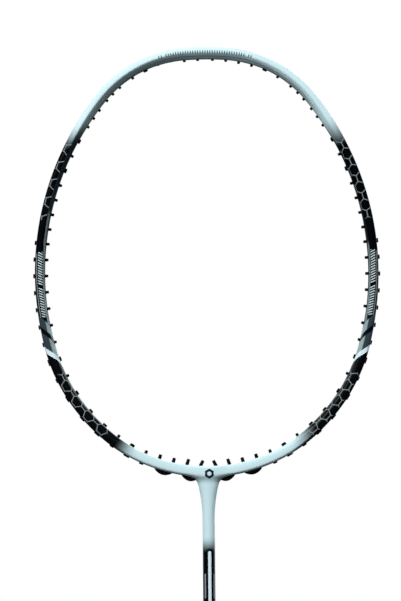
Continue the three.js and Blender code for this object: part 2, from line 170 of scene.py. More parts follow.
def tube_faces(rings, around, capped=True):
    """Quads between rings of points, with an n-gon at each end."""
    faces = []
    for i in range(rings - 1):
        for j in range(around):
            k = (j + 1) % around
            faces.append((i * around + j, i * around + k, (i + 1) * around + k, (i + 1) * around + j))
    if capped:
        faces.append(tuple(range(around))[::-1])
        faces.append(tuple(range((rings - 1) * around, rings * around)))
    return faces


def lathe_faces(profile_points, around):
    """Quads for a profile that closes on itself, turned round an axis."""
    faces = []
    for i in range(profile_points):
        n = (i + 1) % profile_points
        for j in range(around):
            k = (j + 1) % around
            faces.append((i * around + j, i * around + k, n * around + k, n * around + j))
    return faces


def lathe_points(profile, around):
    """Points for a profile of (radius, height) pairs turned round Z."""
    angles = 2 * np.pi * np.arange(around) / around
    profile = np.asarray(profile, float)
    x = profile[:, :1] * np.cos(angles)
    y = profile[:, :1] * np.sin(angles)
    z = np.repeat(profile[:, 1:], around, axis=1)
    return np.stack([x, y, z], -1).reshape(-1, 3)


def rounded(corners, radius, steps):
    """A closed profile whose corners are rounded with short curves."""
    longest = 0.45  # share of an edge that one curve may take
    corners = np.asarray(corners, float)
    out = []
    for i, corner in enumerate(corners):
        before = corners[i - 1] - corner
        after = corners[(i + 1) % len(corners)] - corner
        lengths = np.hypot(*before), np.hypot(*after)
        trim = min(radius, longest * lengths[0], longest * lengths[1])
        start = corner + before / lengths[0] * trim
        end = corner + after / lengths[1] * trim
        for t in np.linspace(0, 1, steps + 1):
            out.append((1 - t) ** 2 * start + 2 * t * (1 - t) * corner + t * t * end)
    return np.array(out)


# ---- materials ----


def srgb(red, green, blue):
    """A colour given as 0 to 255 screen values, as the linear colour a node takes."""

    def linear(value):
        value /= 255
        return value / 12.92 if value <= 0.04045 else ((value + 0.055) / 1.055) ** 2.4

    return (linear(red), linear(green), linear(blue), 1.0)


def arithmetic(operation):
    return lambda self, other: self.look.maths(operation, self, other)


def swapped(operation):
    return lambda self, other: self.look.maths(operation, other, self)


class Field:
    """A number that varies over a surface. It adds and multiplies like a Python number."""

    def __init__(self, look, socket):
        self.look, self.socket = look, socket

    def __abs__(self):
        return self.look.maths("ABSOLUTE", self)

    __add__, __radd__ = arithmetic("ADD"), swapped("ADD")
    __sub__, __rsub__ = arithmetic("SUBTRACT"), swapped("SUBTRACT")
    __mul__, __rmul__ = arithmetic("MULTIPLY"), swapped("MULTIPLY")
    __truediv__ = arithmetic("DIVIDE")
    __gt__, __lt__ = arithmetic("GREATER_THAN"), arithmetic("LESS_THAN")


SPARE_PERIODS = 64  # added before a modulo, which needs a value above zero
MIX_INPUTS, MIX_OUTPUT = (0, 6, 7), 2  # the mix node's sockets when it mixes colours


class Nodes:
    """A node tree under construction, with short calls for the nodes that this script uses."""

    def __init__(self, tree):
        self.tree = tree
        tree.nodes.clear()

    def put(self, socket, value):
        if isinstance(value, Field):
            self.tree.links.new(value.socket, socket)
        elif isinstance(value, bpy.types.NodeSocket):
            self.tree.links.new(value, socket)
        else:
            socket.default_value = value

    def maths(self, operation, *values):
        node = self.tree.nodes.new("ShaderNodeMath")
        node.operation = operation
        for socket, value in zip(node.inputs, values):
            self.put(socket, value)
        return Field(self, node.outputs[0])

    def least(self, a, b):
        return self.maths("MINIMUM", a, b)

    def most(self, a, b):
        return self.maths("MAXIMUM", a, b)

    def length(self, a, b):
        """The length of a line that goes a one way and b square to it."""
        return self.maths("SQRT", a * a + b * b)

    def wrap(self, value, period):
        """The value less whole periods, so that it runs from minus half a period to half a period."""
        shifted = value + period * (SPARE_PERIODS + 0.5)
        return self.maths("MODULO", shifted, period) - period / 2

    def step(self, value, low, high, smooth=True):
        """Rises from 0 at low to 1 at high. With low above high, it falls as the value rises."""
        node = self.tree.nodes.new("ShaderNodeMapRange")
        node.interpolation_type = "SMOOTHSTEP" if smooth else "LINEAR"
        self.put(node.inputs["Value"], value)
        turned = low > high
        node.inputs["From Min"].default_value = min(low, high)
        node.inputs["From Max"].default_value = max(low, high)
        node.inputs["To Min"].default_value = 1.0 if turned else 0.0
        node.inputs["To Max"].default_value = 0.0 if turned else 1.0
        return Field(self, node.outputs["Result"])

    def choose(self, amount, first, second):
        """A number between two numbers."""
        return first + (second - first) * amount

    def between(self, value, low, high, soft=0.06):
        """1 between two values and 0 outside them, with soft edges."""
        rise = self.step(value, low - soft, low + soft)
        return rise * self.step(value, high + soft, high - soft)

    def within(self, value, reach, soft=0.06):
        """1 where the value is less than a reach from zero, with a soft edge."""
        return self.step(abs(value), reach + soft, reach - soft)

    def field(self, name):
        """A number kept on the points of the mesh."""
        node = self.tree.nodes.new("ShaderNodeAttribute")
        node.attribute_name = name
        return Field(self, node.outputs["Fac"])

    def coordinates(self, kind):
        where = self.tree.nodes.new("ShaderNodeTexCoord")
        split = self.tree.nodes.new("ShaderNodeSeparateXYZ")
        self.tree.links.new(where.outputs[kind], split.inputs[0])
        return [Field(self, out) for out in split.outputs]

    def place(self):
        """The point's place on the object in millimetres, as three fields."""
        return [axis / MM for axis in self.coordinates("Object")]

    def noise(self, scale, detail=3.0, rough=0.55):
        where = self.tree.nodes.new("ShaderNodeTexCoord")
        node = self.tree.nodes.new("ShaderNodeTexNoise")
        self.tree.links.new(where.outputs["Object"], node.inputs["Vector"])
        node.inputs["Scale"].default_value = scale
        node.inputs["Detail"].default_value = detail
        node.inputs["Roughness"].default_value = rough
        return Field(self, node.outputs["Fac"])

    def mix(self, amount, first, second):
        """A colour between two colours."""
        node = self.tree.nodes.new("ShaderNodeMix")
        node.data_type = "RGBA"
        for index, value in zip(MIX_INPUTS, (amount, first, second)):
            self.put(node.inputs[index], value)
        return node.outputs[MIX_OUTPUT]

    def light_path(self, kind):
        return self.tree.nodes.new("ShaderNodeLightPath").outputs[kind]

    def blend_shaders(self, amount, first, second):
        node = self.tree.nodes.new("ShaderNodeMixShader")
        for socket, value in zip(node.inputs, (amount, first, second)):
            self.put(socket, value)
        return node.outputs[0]

    def coloured(self, kind, colour):
        """A background, emission, diffuse or transparent shader of one colour."""
        node = self.tree.nodes.new(kind)
        self.put(node.inputs["Color"], colour)
        return node

    def bump(self, height, strength, distance):
        """A normal for a relief whose full height is a distance in millimetres."""
        node = self.tree.nodes.new("ShaderNodeBump")
        node.inputs["Strength"].default_value = strength
        node.inputs["Distance"].default_value = distance * MM
        self.put(node.inputs["Height"], height)
        return node.outputs[0]


class Look(Nodes):
    """A material under construction."""

    def __init__(self, name):
        self.material = bpy.data.materials.new(name)
        self.material.use_nodes = True
        super().__init__(self.material.node_tree)

    def output(self, shader):
        node = self.tree.nodes.new("ShaderNodeOutputMaterial")
        self.tree.links.new(shader, node.inputs["Surface"])
        return self.material

    def finish(self, colour, roughness, normal=None, metallic=0.0, coat=0.0, coat_roughness=0.03,
               sheen=0.0, specular=0.5):
        shader = self.tree.nodes.new("ShaderNodeBsdfPrincipled")
        self.put(shader.inputs["Base Color"], colour)
        self.put(shader.inputs["Roughness"], roughness)
        self.put(shader.inputs["Metallic"], metallic)
        self.put(shader.inputs["Specular IOR Level"], specular)
        self.put(shader.inputs["Coat Weight"], coat)
        self.put(shader.inputs["Coat Roughness"], coat_roughness)
        self.put(shader.inputs["Sheen Weight"], sheen)
        if normal is not None:
            self.put(shader.inputs["Normal"], normal)
            self.put(shader.inputs["Coat Normal"], normal)
        return self.output(shader.outputs[0])


ICE_WHITE = srgb(206, 234, 240)
BLACK = srgb(4, 6, 9)
STRIPE_WHITE = srgb(222, 241, 247)
SLATE = srgb(50, 64, 72)
# Pale slate: lighter paint on the inner bevels that also carries a painted reflection.
PALE_SLATE_AND_REFLECTION = srgb(150, 168, 172)
LINE_GREY = srgb(140, 151, 155)
BAR_GREY = srgb(150, 160, 172)
# Ink for the ticks, also used for a line of painted shade.
INK_AND_SHADE = srgb(62, 76, 84)
EMBLEM_BLUE = srgb(24, 38, 56)

COAT = 0.25
BLACK_COAT_LOSS = 0.18  # the upper black panels shine less


def lacquer(look, colour, coat=COAT):
    """Clear-coated paint with the faint ripple that sprayed lacquer has."""
    ripple = look.bump(look.noise(scale=60, detail=1), strength=0.02, distance=0.2)
    dullness = 0.18 + 0.08 * look.noise(scale=70, detail=2)
    return look.finish(colour, 0.5, normal=ripple, coat=coat, coat_roughness=dullness, specular=0.0)


def hexagon_reach(look, p, q):
    """How far a point lies from a hexagon's centre, square to the nearest side. The hexagon has
    corners along p and sides along q."""
    return look.most(q, p * math.cos(math.pi / 6) + q * math.sin(math.pi / 6))


class HeadLook(Look):
    """A paint for the head, with the places that it is drawn by: the signed distance along the
    head from its top centre, and the distance across its face from the middle, outwards positive."""

    def __init__(self, name):
        super().__init__(name)
        self.arc, self.across = self.field("arc"), self.field("across")
        self.along = abs(self.arc)
        self.left = self.step(self.arc, 0.5, -0.5)

    def inward(self, edge, soft=0.3):
        """1 on the inner side of a line along the head, at a place across its face."""
        return self.step(self.across, edge + soft, edge - soft)


# The paint's places, along the head unless a line says across. A fade gives where something is
# absent and where it is full, ends give where it starts and stops, and sides the same across.
# Painted shade on the white: the inner bevel is greyed over the top, down the left shoulder and by the inner
# edge on the right, where that bevel lies in shade.
INNER_BEVEL_SHADE_FADES = (45.0, 5.0), (0.0, -50.0)  # over the top, then further down the left
INNER_BEVEL_SHADE_LOW_FADE = (130.0, 115.0)
INNER_BEVEL_SHADE_AMOUNTS = 0.32, 0.26
RIGHT_SHADE_ENDS = (30.0, 75.0)
RIGHT_SHADE_AMOUNT = 0.45


def white_paint_and_shade(look):
    """Ice white, greyer on the inner bevel over the top and down the left shoulder as painted shade, with
    some more painted shade by the inner edge on the right."""
    over_top, down_left = (look.step(look.arc, *fade) for fade in INNER_BEVEL_SHADE_FADES)
    amount = over_top * (INNER_BEVEL_SHADE_AMOUNTS[0] + INNER_BEVEL_SHADE_AMOUNTS[1] * down_left)
    amount = amount * look.step(look.along, *INNER_BEVEL_SHADE_LOW_FADE)
    # painted shade: the inner bevel mixed towards slate
    colour = look.mix(amount * look.inward(-0.15), ICE_WHITE, SLATE)
    shade = look.inward(-2.25, 0.35) * look.between(look.arc, *RIGHT_SHADE_ENDS, soft=12.0)
    return look.mix(shade * RIGHT_SHADE_AMOUNT, colour, SLATE)


BLACK_FADES_IN = {"right": (85.5, 105.5), "left": (89.8, 107.3)}
BLACK_FADES_OUT = {"right": (304.0, 284.0), "left": (311.3, 296.3)}
OUTER_BEVEL_FADE = (1.6, 3.2)  # across
OUTER_LAG = 9.0  # the black on the right ends this much lower on the outer bevel
INNER_LEAD = 5.0  # the black on the left starts this much higher on the inner bevel


def black_panels(look):
    """1 where the head is black, at its shoulders and sides."""
    outer_bevel = look.step(look.across, *OUTER_BEVEL_FADE)
    inner_bevel = look.inward(-0.65, 0.35)
    right = look.step(look.along, *BLACK_FADES_IN["right"])
    right = right * look.step(look.along - outer_bevel * OUTER_LAG, *BLACK_FADES_OUT["right"])
    left = look.step(look.along + inner_bevel * INNER_LEAD, *BLACK_FADES_IN["left"])
    left = left * look.step(look.along, *BLACK_FADES_OUT["left"])
    return look.choose(look.left, right, left)


# Where the honeycomb lies in each black panel: the first cell's centre along the head, the
# offset across it, and the length of a cell and its link.
HONEYCOMBS = {
    "right_upper": (110.7, 0.1, 10.85),
    "left_upper": (106.6, -1.2, 11.1),
    "right_lower": (258.7, 1.6, 10.85),
    "left_lower": (252.2, -0.7, 11.0),
}
HONEYCOMB_ENDS = {"upper": (101.0, 151.0), "lower": (244.0, 289.0)}
HONEYCOMB_LINE = 0.46
HONEYCOMB_OUTER_FADE = (3.0, 2.6)  # across
HONEYCOMB_INNER_EDGE = -0.9  # across: the lines of the upper left stop at the inner bevel


def honeycomb_lines(look, panel):
    """1 on the lines of a honeycomb whose cells have corners along the tube."""
    centre, offset, period = HONEYCOMBS[panel]
    side = period / 3
    apothem = side * math.sqrt(3) / 2
    reaches = []
    for shift in (0, 1):  # every second row of cells is shifted
        p = abs(look.wrap(look.along - centre - shift * 1.5 * side, 3 * side))
        q = abs(look.wrap(look.across - offset - shift * apothem, 2 * apothem))
        reaches.append(hexagon_reach(look, p, q))
    return look.within(apothem - look.least(*reaches), HONEYCOMB_LINE / 2, soft=0.1)


def honeycombs(look, colour):
    for half, ends in HONEYCOMB_ENDS.items():
        right, left = (honeycomb_lines(look, f"{side}_{half}") for side in ("right", "left"))
        lines = look.choose(look.left, right, left)
        shown = look.between(look.along, *ends, soft=0.8) * look.step(look.across, *HONEYCOMB_OUTER_FADE)
        if half == "upper":
            shown = shown * (1 - look.left * look.inward(HONEYCOMB_INNER_EDGE))
        colour = look.mix(lines * shown * 0.9, colour, LINE_GREY)
    return colour


BAND_ENDS = (170.0, 209.0)
GAP_ENDS = (190.0, 191.6)
BAND_MIDDLE, BAND_DRIFT = -0.1, -0.6  # its middle across the face, and how far that moves down it
BAND_HALF_WIDTH = 1.45
HATCH_PITCH, HATCH_HALF_LINE, HATCH_SLANT = 1.5, 0.31, 0.45
PINSTRIPE_SIDES = (2.0, 2.6)  # from the band's middle
PINSTRIPE_ENDS = (171.0, 209.5)


def hatched_band(look, colour):
    """A band of slanted hatching with a pinstripe beside it."""
    beside = look.across - (BAND_MIDDLE + look.step(look.along, *BAND_ENDS, smooth=False) * BAND_DRIFT)
    slanted = look.along + look.across * HATCH_SLANT
    hatch = look.within(look.wrap(slanted, HATCH_PITCH), HATCH_HALF_LINE, soft=0.1)
    hatch = hatch * look.within(beside, BAND_HALF_WIDTH)
    shown = look.between(look.along, *BAND_ENDS) * (1 - look.between(slanted, *GAP_ENDS))
    colour = look.mix(hatch * shown * 0.8, colour, STRIPE_WHITE)
    pinstripe = look.between(beside, *PINSTRIPE_SIDES) * look.between(look.along, *PINSTRIPE_ENDS)
    return look.mix(pinstripe * 0.7, colour, LINE_GREY)


# The pale strip on the inner bevel is partly lighter paint and partly a painted reflection.
LINING_STARTS = 166.0, 146.0  # on the right and on the left
LINING_FADE_OUT = (216.0, 212.0)
LINING_WIDTH = 1.7
LINING_EDGE, EARLY_LINING_EDGE = -2.1, -1.45  # its outer edge across, and that on the upper left
EARLY_LINING_FADE = (170.0, 164.0)


def pale_lining_and_painted_reflection(look, colour):
    """A pale strip on the inner bevel, which starts higher and wider on the left. It is partly lighter paint
    and partly a painted reflection.
    """
    start = look.choose(look.left, *LINING_STARTS)
    edge = look.choose(look.left * look.step(look.along, *EARLY_LINING_FADE), LINING_EDGE, EARLY_LINING_EDGE)
    shown = look.step(look.along - start, -2.0, 2.0) * look.step(look.along, *LINING_FADE_OUT)
    lining = look.between(look.across - edge, -LINING_WIDTH, 0.0, soft=0.2) * shown
    return look.mix(lining * 0.6, colour, PALE_SLATE_AND_REFLECTION)


STRIPE_SLANT = 1.15
GREY_STRIPE_ENDS = (210.6, 230.2)
BLACK_STRIPE_ENDS = (217.3, 220.8)
WHITE_STRIPE_ENDS = (230.0, 233.8)


def slanted_stripes(look, colour):
    """A broad grey stripe with a black one across it and a white one below it. The grey is paler on the
    inner bevel, partly lighter paint and partly a painted reflection.
    """
    slanted = look.along + look.across * STRIPE_SLANT
    # Painted reflection: paler grey on the inner bevel, partly lighter paint.
    grey = look.mix(look.inward(-0.75, 0.35), SLATE, PALE_SLATE_AND_REFLECTION)
    colour = look.mix(look.between(slanted, *GREY_STRIPE_ENDS), colour, grey)
    colour = look.mix(look.between(slanted, *BLACK_STRIPE_ENDS), colour, BLACK)
    return look.mix(look.between(slanted, *WHITE_STRIPE_ENDS), colour, STRIPE_WHITE)


TICK_PITCH, TICK_HALF_WIDTH = 1.45, 0.3
TICK_SIDES = (-0.5, 1.3)
TICKED_HALF_LENGTH = 24.4
LAST_TICKS_ENDS = (25.6, 27.8)
# A dark line of painted shade on the inner bevel over the top lies between these sides.
SHADE_LINE_SIDES = (-2.9, -2.3)
SHADE_LINE_FADE = (45.0, 25.0)


def top_ticks_and_shade_line(look, colour):
    """Fine ticks over the top of the head, and a dark line of painted shade inside them on the inner bevel.
    """
    last = look.between(look.along, *LAST_TICKS_ENDS, soft=0.1)
    tick = look.within(look.wrap(look.along, TICK_PITCH), TICK_HALF_WIDTH, soft=0.12)
    tick = tick * look.between(look.across, *TICK_SIDES, soft=0.2)
    colour = look.mix(tick * look.most(look.within(look.along, TICKED_HALF_LENGTH), last), colour, INK_AND_SHADE)
    # Painted shade: a dark line along the inner bevel over the top.
    shade_line = look.between(look.across, *SHADE_LINE_SIDES, soft=0.15) * look.step(look.along, *SHADE_LINE_FADE)
    return look.mix(shade_line * 0.6, colour, INK_AND_SHADE)


BEVEL_SHEEN_FADE = (150.0, 140.0)
DULL_FADE = (220.0, 180.0)


def head_paint():
    """The head: ice white, black panels with line work, slanted stripes and rows of plain marks, with
    painted shade and painted reflections on its inner bevels.
    """
    look = HeadLook("head_paint")
    black = black_panels(look)
    colour = look.mix(black, white_paint_and_shade(look), BLACK)
    # Painted sheen: the inner bevel of the upper left black panel is mixed halfway to slate, a painted
    # reflection lighter than the black face.
    painted_bevel_sheen = look.left * black * look.inward(-1.0) * look.step(look.along, *BEVEL_SHEEN_FADE)
    colour = look.mix(painted_bevel_sheen * 0.5, colour, SLATE)
    for layer in (honeycombs, hatched_band, pale_lining_and_painted_reflection, slanted_stripes, top_ticks_and_shade_line):
        colour = layer(look, colour)
    coat = COAT - BLACK_COAT_LOSS * black * look.step(look.along, *DULL_FADE)
    return lacquer(look, colour, coat)


RING_X, RING_DROP = 0.6, 1.8  # the ring's centre, from the axis and below the head's centre line
RING_SIDES = (1.2, 2.6)  # from its centre to its inner and outer sides


def throat_paint():
    """The throat: plain ice white with a small dark hexagonal ring on the front."""
    look = Look("throat_paint")
    x, y, z = look.place()
    reach = hexagon_reach(look, abs(z - (LINE_BOTTOM - RING_DROP)), abs(x - RING_X))
    mark = look.between(reach, *RING_SIDES, soft=0.08) * (y < 0)
    return lacquer(look, look.mix(mark, ICE_WHITE, EMBLEM_BLUE))


SHAFT_FADE = (385.5, 375.5)  # heights where its white starts to fade and where it is all black
STRIPE_TOP = 375.5
STRIPE_HALF_WIDTH, BORDER_HALF_WIDTH = 0.93, 2.5
GRAPHIC_TURN = math.radians(7)  # how far the shaft's stripe is turned towards +X
GRAPHIC_FOOT = 12  # its lower end, above the cone
BAR_SIDES = (2.45, 3.4)  # round the shaft from the stripe's middle
BAR_HEIGHT, BAR_PITCH, BAR_HALF_LENGTH = 356.0, 42.0, 7.2
BARS_TOP = 366.0


def shaft_paint():
    """The shaft: white fading to black, with a long central stripe and short side bars, the same
    on the front and the back."""
    look = Look("shaft_paint")
    x, y, z = look.place()
    around = (look.maths("ARCTAN2", x, abs(y)) - GRAPHIC_TURN) * SHAFT_RADIUS
    stripe = look.length(around, look.most(z - STRIPE_TOP, 0.0))
    foot = node_box("cone_cap")[1][2] + GRAPHIC_FOOT
    kept = look.step(z, foot, foot + 0.3)
    colour = look.mix(look.step(z, *SHAFT_FADE), ICE_WHITE, BLACK)
    colour = look.mix(look.within(stripe, BORDER_HALF_WIDTH, soft=0.2) * kept * 0.85, colour, BLACK)
    colour = look.mix(look.within(stripe, STRIPE_HALF_WIDTH, soft=0.07) * kept, colour, STRIPE_WHITE)
    bar = look.between(abs(around), *BAR_SIDES) * (z < BARS_TOP) * (z > foot)
    bar = bar * look.within(look.wrap(z - BAR_HEIGHT, BAR_PITCH), BAR_HALF_LENGTH)
    colour = look.mix(bar * 0.8, colour, BAR_GREY)
    return lacquer(look, colour)


def nylon():
    look = Look("black_nylon")
    grain = look.noise(scale=2500)
    relief = look.bump(grain, strength=0.15, distance=0.1)
    return look.finish(srgb(5, 6, 7), 0.42 + 0.2 * grain, normal=relief, specular=0.06)


def gloss_plastic():
    look = Look("gloss_plastic")
    ripple = look.bump(look.noise(scale=400, detail=2), strength=0.05, distance=0.3)
    dullness = 0.16 + 0.1 * look.noise(scale=60, detail=5)
    return look.finish(srgb(12, 14, 17), dullness, normal=ripple, coat=0.5)


DOT_PITCH, HOLE_PITCH = 2.4, 4.8
DOT_RADIUS, HOLE_RADIUS = 0.6, 0.475
HOLE_ROW = 0.52  # share of the way across the grip


def grip_leather():
    """Soft black polyurethane: fine pores, pressed dots and rows of small vent holes, painted nearly black
    as painted shade.
    """
    look = Look("grip_leather")
    along, across = look.field("arc"), look.field("across")
    pores = look.noise(scale=1800, detail=5, rough=0.7)
    from_dot = look.length(look.wrap(along, DOT_PITCH), look.wrap(across, DOT_PITCH))
    from_hole = look.length(look.wrap(along, HOLE_PITCH), across - GRIP_WIDTH * HOLE_ROW)
    dots = look.within(from_dot, DOT_RADIUS, soft=0.15)
    holes = look.within(from_hole, HOLE_RADIUS, soft=0.075)
    worn = look.step(look.noise(scale=40, detail=5), 0.35, 0.75)
    colour = look.mix(worn, srgb(21, 22, 24), srgb(33, 34, 36))
    # Painted shade: the vent holes are pressed in only by the bump, and are painted nearly black for the
    # shade inside them.
    colour = look.mix(holes, colour, srgb(4, 4, 4))
    relief = look.bump(pores * 0.25 + dots * 0.4 - holes * 1.5, strength=0.7, distance=0.3)
    return look.finish(colour, 0.5 + 0.15 * pores, normal=relief, sheen=0.15)


def waves(look, place, wavelength):
    """Runs from -1 to 1 and back over each wavelength."""
    return look.maths("SINE", place * (2 * math.pi / wavelength))


def tape_film():
    """Satin film with fine lengthwise strands."""
    look = Look("tape_film")
    strands = look.bump(waves(look, look.field("across"), 0.698), strength=0.12, distance=0.1)
    smudge = look.noise(scale=120, detail=4)
    colour = look.mix(smudge, srgb(196, 222, 228), srgb(210, 232, 238))
    return look.finish(colour, 0.38 + 0.2 * smudge, normal=strands)


def turned_metal():
    """Bare metal with the fine rings of a lathe."""
    look = Look("turned_metal")
    x, y, _ = look.place()
    rings = look.bump(waves(look, look.length(x, y), 0.2856), strength=0.25, distance=0.1)
    colour = look.mix(look.noise(scale=200, detail=4), srgb(120, 124, 128), srgb(142, 146, 150))
    return look.finish(colour, 0.3, normal=rings, metallic=1.0)


def carbon():
    look = Look("bare_carbon")
    x, _, z = look.place()
    weave = look.most(waves(look, x + z, 2.094), waves(look, x - z, 2.094))
    return look.finish(look.mix(weave, srgb(18, 19, 22), srgb(44, 46, 50)), 0.45)


def wood():
    """Pale wood whose rings run nearly along the handle."""
    look = Look("handle_wood")
    x, _, z = look.place()
    rings = waves(look, x * 1.4 + look.noise(scale=30, detail=4) * 9.0 + z * 0.03, 3.142)
    colour = look.mix(rings * 0.5 + 0.5, srgb(205, 170, 120), srgb(226, 196, 148))
    return look.finish(colour, 0.7, normal=look.bump(rings, strength=0.2, distance=0.2))


def steel():
    look = Look("staple_steel")
    scratches = look.noise(scale=800, detail=4)
    return look.finish(srgb(168, 171, 173), 0.3 + 0.2 * scratches, metallic=1.0)


# ---- the head tube ----

FACET_SHARPNESS = 16  # the higher, the crisper the edges between facets
SECTION_POINTS = 88
SECTION_SAMPLES = 721  # from which the section's points are picked at even distances
RING_STEP = 1.5
# How far the outer and inner walls stand out of the plain section, or in where negative.
SIDE_TRIM = -0.15, -0.3
LOW_TRIM = 0.28, -0.15  # between the sides and the throat
TOP_TRIM = 0.35  # of the inner wall only, over the top


def hump(value, start, full, fade, end):
    """Rises from 0 at start to 1 at full, and falls from fade to 0 at end."""
    return smoothstep(start, full, value) * smoothstep(end, fade, value)


def facets(distance):
    """The outward normals and distances of the section's flats, at a distance along the head: the
    outer and inner walls, the face, an outer bevel and two inner ones. A bevel is (width across
    the frame, height front to back): the tube is wedge-shaped over the top, boxy at the sides
    and flat-fronted at the throat."""
    at = np.abs(np.asarray(distance, float))
    boxy = smoothstep(70, 125, at)
    throaty = smoothstep(250, 330, at)
    at_side, below = hump(at, 85, 110, 200, 225), hump(at, 215, 245, 290, 325)
    a, b = half_width(at), FRAME_DEPTH / 2
    outside = a + SIDE_TRIM[0] * at_side + LOW_TRIM[0] * below
    inner_edge = a + SIDE_TRIM[1] * at_side + LOW_TRIM[1] * below
    inside = inner_edge + TOP_TRIM * smoothstep(45, 15, at) - THROAT_INSET * smoothstep(280, 315, at)

    def blend(top, side, throat):
        return (top + (side - top) * boxy) * (1 - throaty) + throat * throaty

    outer = blend(2.8, 1.0, 0.85), blend(0.8, 1.2, 1.5)
    inner = blend(3.3, 1.75, 2.5), blend(3.1, 2.4, 0.75)
    under = blend(2.5, 1.3, 0.7), blend(3.7, 3.2, 2.4)
    one, zero = np.ones_like(at), np.zeros_like(at)
    rows = [(one, zero, outside), (-one, zero, inside), (zero, one, b * one)]
    for direction, edge, bevel in ((1, outside, outer), (-1, inner_edge, inner), (-1, inner_edge, under)):
        width, height = bevel
        length = np.hypot(width, height)
        reach = (height * edge + width * (b - height)) / length
        rows.append((direction * height / length, width / length, reach))
    return rows


def section_reach(distance, out, depth):
    """How far a point lies from the centre line, as a share of the section's reach that way."""
    total = 0
    for n_out, n_depth, reach in facets(distance):
        share = (n_out * out + n_depth * np.abs(depth)) / reach
        total = total + np.maximum(share, 0) ** FACET_SHARPNESS
    return total ** (1 / FACET_SHARPNESS)


def section(distance):
    """One ring of the head tube: (outwards, depth) pairs, and distances from the face's middle."""
    fine = np.linspace(0, np.pi, SECTION_SAMPLES)  # from the outer wall over the back to the inner wall
    reach = 1 / section_reach(distance, np.cos(fine), np.sin(fine))
    out, depth = reach * np.cos(fine), reach * np.sin(fine)
    walked = np.concatenate([[0], np.cumsum(np.hypot(np.diff(out), np.diff(depth)))])
    even = np.linspace(0, walked[-1], SECTION_POINTS // 2 + 1)
    angle = np.interp(even, walked, fine)
    centre = np.interp(np.pi / 2, fine, walked)
    reach = 1 / section_reach(distance, np.cos(angle), np.sin(angle))
    half = np.stack([reach * np.cos(angle), reach * np.sin(angle)], -1)
    across = centre - even
    front = half[1:-1][::-1] * (1, -1)
    return np.concatenate([half, front]), np.concatenate([across, across[1:-1][::-1]])


GROOVE_WALL = GROOVE_WIDTH / 2 + 0.2, GROOVE_WIDTH / 2 - 0.15  # from its lip to its floor


def groove_depth(distance, depth):
    """How deep the string groove is at a distance along the head and a depth front to back."""
    fading = 1 - smoothstep(GROOVED_LENGTH, GROOVED_LENGTH + GROOVE_FADE, abs(distance))
    return GROOVE_DEPTH * fading * smoothstep(*GROOVE_WALL, np.abs(depth))


def head_tube(material):
    """The head from one side of the throat round to the other."""
    end = HALF_LENGTH - THROAT_REACH
    distances = np.linspace(-end, end, int(2 * end / RING_STEP))
    points, across_all = [], []
    for distance in distances:
        pairs, across = section(distance)
        out, depth = pairs.T
        out = out - groove_depth(distance, depth) * (out > 0)
        x, z, out_x, out_z = head_line(distance)
        points.append(np.stack([x + out * out_x, depth, z + out * out_z], -1))
        across_all.append(across)
    fields = {"arc": np.repeat(distances, SECTION_POINTS), "across": np.concatenate(across_all)}
    mesh = np.concatenate(points), tube_faces(len(distances), SECTION_POINTS)
    return make_piece("head_tube", *mesh, material, "frame_paint", ["head_frame"], fields)


# ---- the throat ----

THROAT_REACH = 26  # of the throat piece along the head, each side of the axis
FLARE_LENGTH = 24
FLARE_GROWTH = 1.6
DEPTH_FLARE_LENGTH = 16  # the shaft widens front to back over a shorter length
FLARE_SETBACK = 1.1  # of its front from the head's
TUCK = 3.5  # how far the throat piece runs on inside its neighbours
TUCK_DEPTH = 0.25
FILLET = 4.4
NET_STEP = 0.55
NET_MARGIN = 1


def flare_field(x, y, z):
    """Below zero inside the flared top of the shaft."""
    depth = np.clip(LINE_BOTTOM - THROAT_WIDTH / 2 - z, 0, FLARE_LENGTH)
    share = (FLARE_LENGTH - depth) / (FLARE_LENGTH * 2 / 3)
    width = SHAFT_RADIUS + FLARE_GROWTH * share ** 2
    growth = FRAME_DEPTH / 2 - FLARE_SETBACK - SHAFT_RADIUS
    across = SHAFT_RADIUS + growth * smoothstep(DEPTH_FLARE_LENGTH, 0, depth)
    round_field = (np.hypot(x / width, y / across) - 1) * np.minimum(width, across)
    return np.maximum(round_field, z - LINE_BOTTOM)


def throat_field(x, y, z):
    """Below zero inside the throat: head tube and shaft, melted together by a fillet."""
    centre_z = LINE_BOTTOM + THROAT_ARC_RADIUS
    along = THROAT_ARC_RADIUS * np.arctan2(np.abs(x), centre_z - z)
    out = np.hypot(x, z - centre_z) - THROAT_ARC_RADIUS
    tube = (section_reach(HALF_LENGTH - along, out, y) - 1) * half_width(HALF_LENGTH - along)
    flare = flare_field(x, y, z)
    nearness = np.maximum(FILLET - np.abs(tube - flare), 0) / FILLET
    melted = np.minimum(tube, flare) - nearness ** 2 * FILLET / 4
    foot = LINE_BOTTOM - THROAT_WIDTH / 2 - FLARE_LENGTH - z
    tuck = smoothstep(THROAT_REACH + 0.5, THROAT_REACH + TUCK, along) + smoothstep(0.5, TUCK, foot)
    cut = np.maximum(along - THROAT_REACH - TUCK, foot - TUCK)
    return np.maximum(melted + TUCK_DEPTH * tuck, cut)


